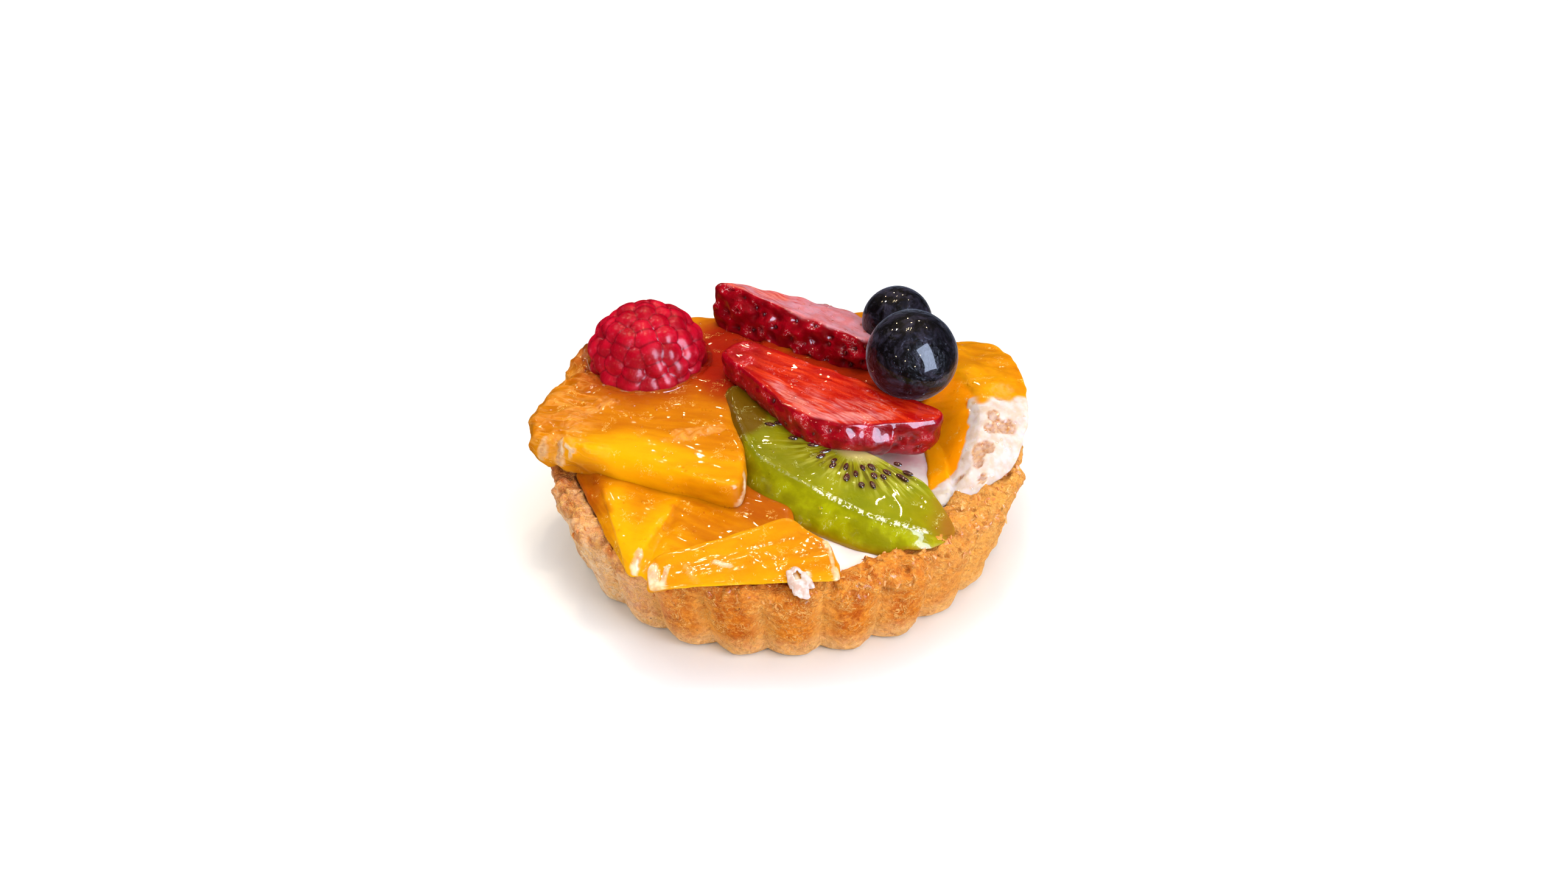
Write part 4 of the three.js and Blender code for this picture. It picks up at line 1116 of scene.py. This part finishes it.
look = Look(
    "blueberry_skin", Roughness=0.4, Coat_Weight=0.42, Coat_Roughness=0.03, Subsurface_Weight=0.05,
    Subsurface_Scale=0.001, Specular_IOR_Level=0.1, Sheen_Weight=0.9, Sheen_Roughness=0.25,
    Sheen_Tint=rgb((150, 164, 196)))
colour = look.coats(
    look.tint(look.between(look.noise(2.8, 5, 0.62, 0.8), 0.44, 0.70), (5, 3, 6), (44, 42, 60)),
    (look.noise(0.7, 3), 0.56, 0.8, 0.4, (70, 70, 92)),
    (look.mark("crown"), 1, (40, 30, 44)))
look.dress(colour, look.group(GLAZE, 2.6, 1.0, 0.5), 0.75, 0.6)

CROWN_WAY = np.array([0.45, 0.88, 0.1]) / np.linalg.norm([0.45, 0.88, 0.1])
ways = directions(89.2, -89.2, 130, 240)
from_crown = np.degrees(np.arccos(np.clip(ways @ CROWN_WAY, -1, 1)))
across = ways - (ways @ CROWN_WAY)[..., None] * CROWN_WAY
lobe = np.cos(5 * np.arctan2(across[..., 2], across[..., 0]))
crown = 0.6 * hump(from_crown - 17 - 2.5 * lobe, 3.2) - 0.9 * smooth(15, 6, from_crown)
for name, (at, radius) in BLUEBERRIES.items():
    out = radius * (1 + 0.012 * lumps(ways, 0.7, 3) + 0.004 * lumps(ways, 0.25, 5)) + crown
    berry = skin(name + "_skin", ways * out[..., None] + at, {"crown": smooth(20, 12, from_crown)})
    finished(berry, look, "blueberry", name)

# ---- The set glaze ----
# Clear apricot glaze, brushed on warm. It stands in a thin ring round the foot of the raspberry and as
# small beads and bubbles on the fruit.

look = Look("clear_glaze", Roughness=0.04, IOR=1.42, Transmission_Weight=1.0, Specular_IOR_Level=0.6)
look.dress(look.mottled(3, 2, 0.4, 0.6, (255, 244, 226), (255, 228, 190)), look.noise(1.2), 0.3, 0.2)

RING_RADIUS, LEAST_TOP, BEADS_EACH = 10.75, 23.9, 34
degrees, circle = round_the_hole(2.0)
wide = 0.5 * (1 + 0.35 * lumps(circle * 10, 2.5, 3))
middle = RING_RADIUS * (1 + 0.008 * lumps(circle * 10, 3, 4))
# The ring follows the tops of the slices that it lies on
tops = np.full(len(degrees), LEAST_TOP)
for name in ("orange_left_flesh", "orange_back_left_flesh", "orange_back_flesh"):
    mesh = bpy.data.objects[name].data
    points = np.empty(len(mesh.vertices) * 3)
    mesh.vertices.foreach_get("co", points)
    points = points.reshape(-1, 3) / MM
    for k, way in enumerate(circle):
        near = np.hypot(*(points - way * RING_RADIUS - RASPBERRY_AT)[:, :2].T) < 0.6
        if near.any():
            tops[k] = max(tops[k], points[near, 2].max())
for _ in range(4):
    tops = (np.roll(tops, 1) + 2 * tops + np.roll(tops, -1)) / 4
lift = joined(*RASPBERRY_AT[:2], tops)[:, None]
ring = band("raspberry_glaze", middle - wide, middle + wide, 1.3 * wide, lambda points: points + lift)
finished(ring, look, "raspberry")

chance = np.random.default_rng(7)


def scattered(pieces, count, wanted):
    """Places on the upper surfaces of pieces, in millimetres, and the way each surface faces there."""
    spots, ways = [], []
    for piece in pieces:
        faces = piece.data.polygons
        values = [np.empty(len(faces) * 3), np.empty(len(faces) * 3), np.empty(len(faces))]
        for key, value in zip(("center", "normal", "area"), values):
            faces.foreach_get(key, value)
        centres, normals, areas = values[0].reshape(-1, 3) / MM, values[1].reshape(-1, 3), values[2]
        weight = areas * wanted(centres, normals)
        if weight.sum() > 0:
            picked = chance.choice(len(areas), count, p=weight / weight.sum())
            spots.append(centres[picked])
            ways.append(normals[picked])
    return np.concatenate(spots), np.concatenate(ways)


def wet(centres, normals):
    """How likely a bead is at each place: only on upper sides, and mostly in patches."""
    return (normals[:, 2] > 0.3) * (centres[:, 2] > 17) * (0.2 + smooth(0.2, 0.7, lumps(centres, 4, 3)))


fruit = [bpy.data.objects[name + "_flesh"] for name in (
    "orange_left", "orange_front", "orange_front_left", "orange_right", "kiwi", "strawberry_front",
    "strawberry_back", "orange_back_left")]
spots, ways = scattered(fruit, BEADS_EACH, wet)
big, wide = (chance.uniform(*span, len(spots)) for span in ((0.5, 1.2), (0.8, 1.6)))
drops = seeded(
    "glaze_beads", spots, facing(ways), joined(big, big * wide, big), look, size_mm=(0.6, 0.6, 0.32),
    unevenness_mm=0.05, detail=2)
finished(drops, look, "orange")

# ---- Crumbs ----
# Loose flakes and crumbs of shortcrust that broke off along the rim and stuck in the glaze. The rim is
# most ragged at the right, where it was pulled from the tin.

CRUMBS = 420
look = Look(
    "crust_crumb", Roughness=0.7, Subsurface_Weight=0.1, Subsurface_Scale=0.001, Coat_Weight=0.15,
    Coat_Roughness=0.2)
colour = look.mottled(2.2, 2, 0.38, 0.62, (206, 122, 40), (230, 162, 80))
colour = look.coats(colour, (look.noise(0.6, 3), 0.5, 0.7, 0.4, (244, 196, 126)))
look.dress(colour, look.noise(0.4, 3), 0.5, 0.2)


def ragged(centres, normals):
    """How likely a crumb is at each place: only near the rim, and most at the right."""
    x, y, z = centres.T
    right = smooth(-0.4, 0.9, x / (np.hypot(x, y) + 1e-6))
    return smooth(12.5, 15.5, z) * (z > 12.5) * (0.35 + right) * (np.hypot(x, y) > 32.5)


spots, ways = scattered([crust], CRUMBS, ragged)
turns = facing([Vector(way) + Vector(chance.normal(0, 0.35, 3)) for way in ways])
sizes = chance.uniform(0.4, 1.15, (len(spots), 3)) * chance.uniform(0.6, 1.2, (len(spots), 1))
crumbs = seeded(
    "crust_crumbs", spots - 0.05 * ways, turns, sizes, look, size_mm=(1.4, 0.8, 0.3), unevenness_mm=0.6,
    detail=2)
finished(crumbs, look, "crust")

# ---- Floor, light and camera ----
# A plain pale table top under soft studio light: a wide lamp overhead, daylight from the front right with
# a window that only the glossy fruit mirrors, small warm lamps, a low light at the left, and white all round.

FLOOR_HALF = 2.0
look = Look("pale_table", Roughness=0.6)
look.dress(look.tint(look.noise(40), (238, 244, 254), (235, 241, 252)), look.noise(3), 0.03, 0.2)
mesh = bpy.data.meshes.new("table")
corners = [(x * FLOOR_HALF, y * FLOOR_HALF, 0) for x, y in ((-1, -1), (1, -1), (1, 1), (-1, 1))]
mesh.from_pydata(corners, [], [(0, 1, 2, 3)])
mesh.materials.append(look.material)
table = in_scene("table", mesh)
table.visible_glossy = False

scene = bpy.context.scene
scene.view_settings.view_transform = "Standard"
world = bpy.data.worlds.new("studio")
world.use_nodes = True
world.node_tree.nodes["Background"].inputs["Color"].default_value = (1, 1, 1, 1)
world.node_tree.nodes["Background"].inputs["Strength"].default_value = 0.4
scene.world = world
world.cycles_visibility.glossy = False

MIDDLE = Vector((0, 0, 0.022))


def lamp(name, direction, distance, size, power, colour, mirrored=True, lighting=True):
    """A softbox that faces the tart. It can be one that only lights, or one that is only mirrored."""
    light = bpy.data.lights.new(name, "AREA")
    light.shape = "RECTANGLE"
    light.size, light.size_y = size
    light.energy, light.color = power, colour
    away_from = Vector(direction).normalized()
    made = in_scene(name, light)
    made.location = MIDDLE + away_from * distance
    made.rotation_mode = "QUATERNION"
    made.rotation_quaternion = away_from.to_track_quat("Z", "Y")
    made.visible_glossy, made.visible_diffuse = mirrored, lighting


lamp("window", (0.637, -0.688, 0.343), 0.45, (0.28, 0.55), 12, (0.62, 0.74, 1.0), lighting=False)
lamp("daylight", (0.60, -0.62, 0.5), 0.6, (0.3, 0.4), 2.2, (1.0, 0.98, 0.96), mirrored=False)
lamp("ceiling", (0.1, 0.1, 1.0), 1.6, (1.6, 1.6), 16, (1.0, 0.98, 0.95), mirrored=False)
SMALL_LAMPS = [
    (-0.10, 0.16, 0.98), (-0.02, 0.22, 0.98), (0.06, 0.18, 0.98), (0.0, 0.3, 0.98), (-0.08, 0.26, 0.98),
    (0.09, 0.28, 0.98), (-0.35, 0.75, 0.75), (0.0, 0.85, 0.7), (0.3, 0.7, 0.8), (-0.6, 0.5, 0.8),
    (0.55, 0.45, 0.85), (0.1, 0.6, 0.9), (-0.25, -0.8, 0.3), (0.1, -0.9, 0.15), (-0.6, -0.6, 0.4),
    (0.35, -0.8, 0.6), (-0.1, -0.6, 0.75)]
for k, direction in enumerate(SMALL_LAMPS):
    lamp(f"spot_{k}", direction, 0.6, (0.018, 0.018), 0.16, (1.0, 0.8, 0.5))
lamp("ridge_light", (-0.42, 0.36, 0.84), 0.6, (0.04, 0.02), 0.35, (1.0, 0.97, 0.92), lighting=False)
lamp("left_wall_light", (-0.9, -0.35, 0.25), 0.6, (0.4, 0.3), 0.9, (1.0, 0.97, 0.93), mirrored=False)

TILT, LEAN, DISTANCE = math.radians(35.3), math.radians(-2.2), 0.45
LOOKED_AT = Vector((-0.28, 0, 18.4)) * MM
camera = bpy.data.cameras.new("camera")
camera.lens, camera.sensor_width = 61.44, 36
camera.clip_start, camera.clip_end = 0.01, 10
view = in_scene("camera", camera)
back = Vector((0, -math.cos(TILT), math.sin(TILT)))
view.rotation_mode = "QUATERNION"
view.rotation_quaternion = back.to_track_quat("Z", "Y") @ Matrix.Rotation(LEAN, 3, "Z").to_quaternion()
view.location = LOOKED_AT + back * DISTANCE
scene.camera = view
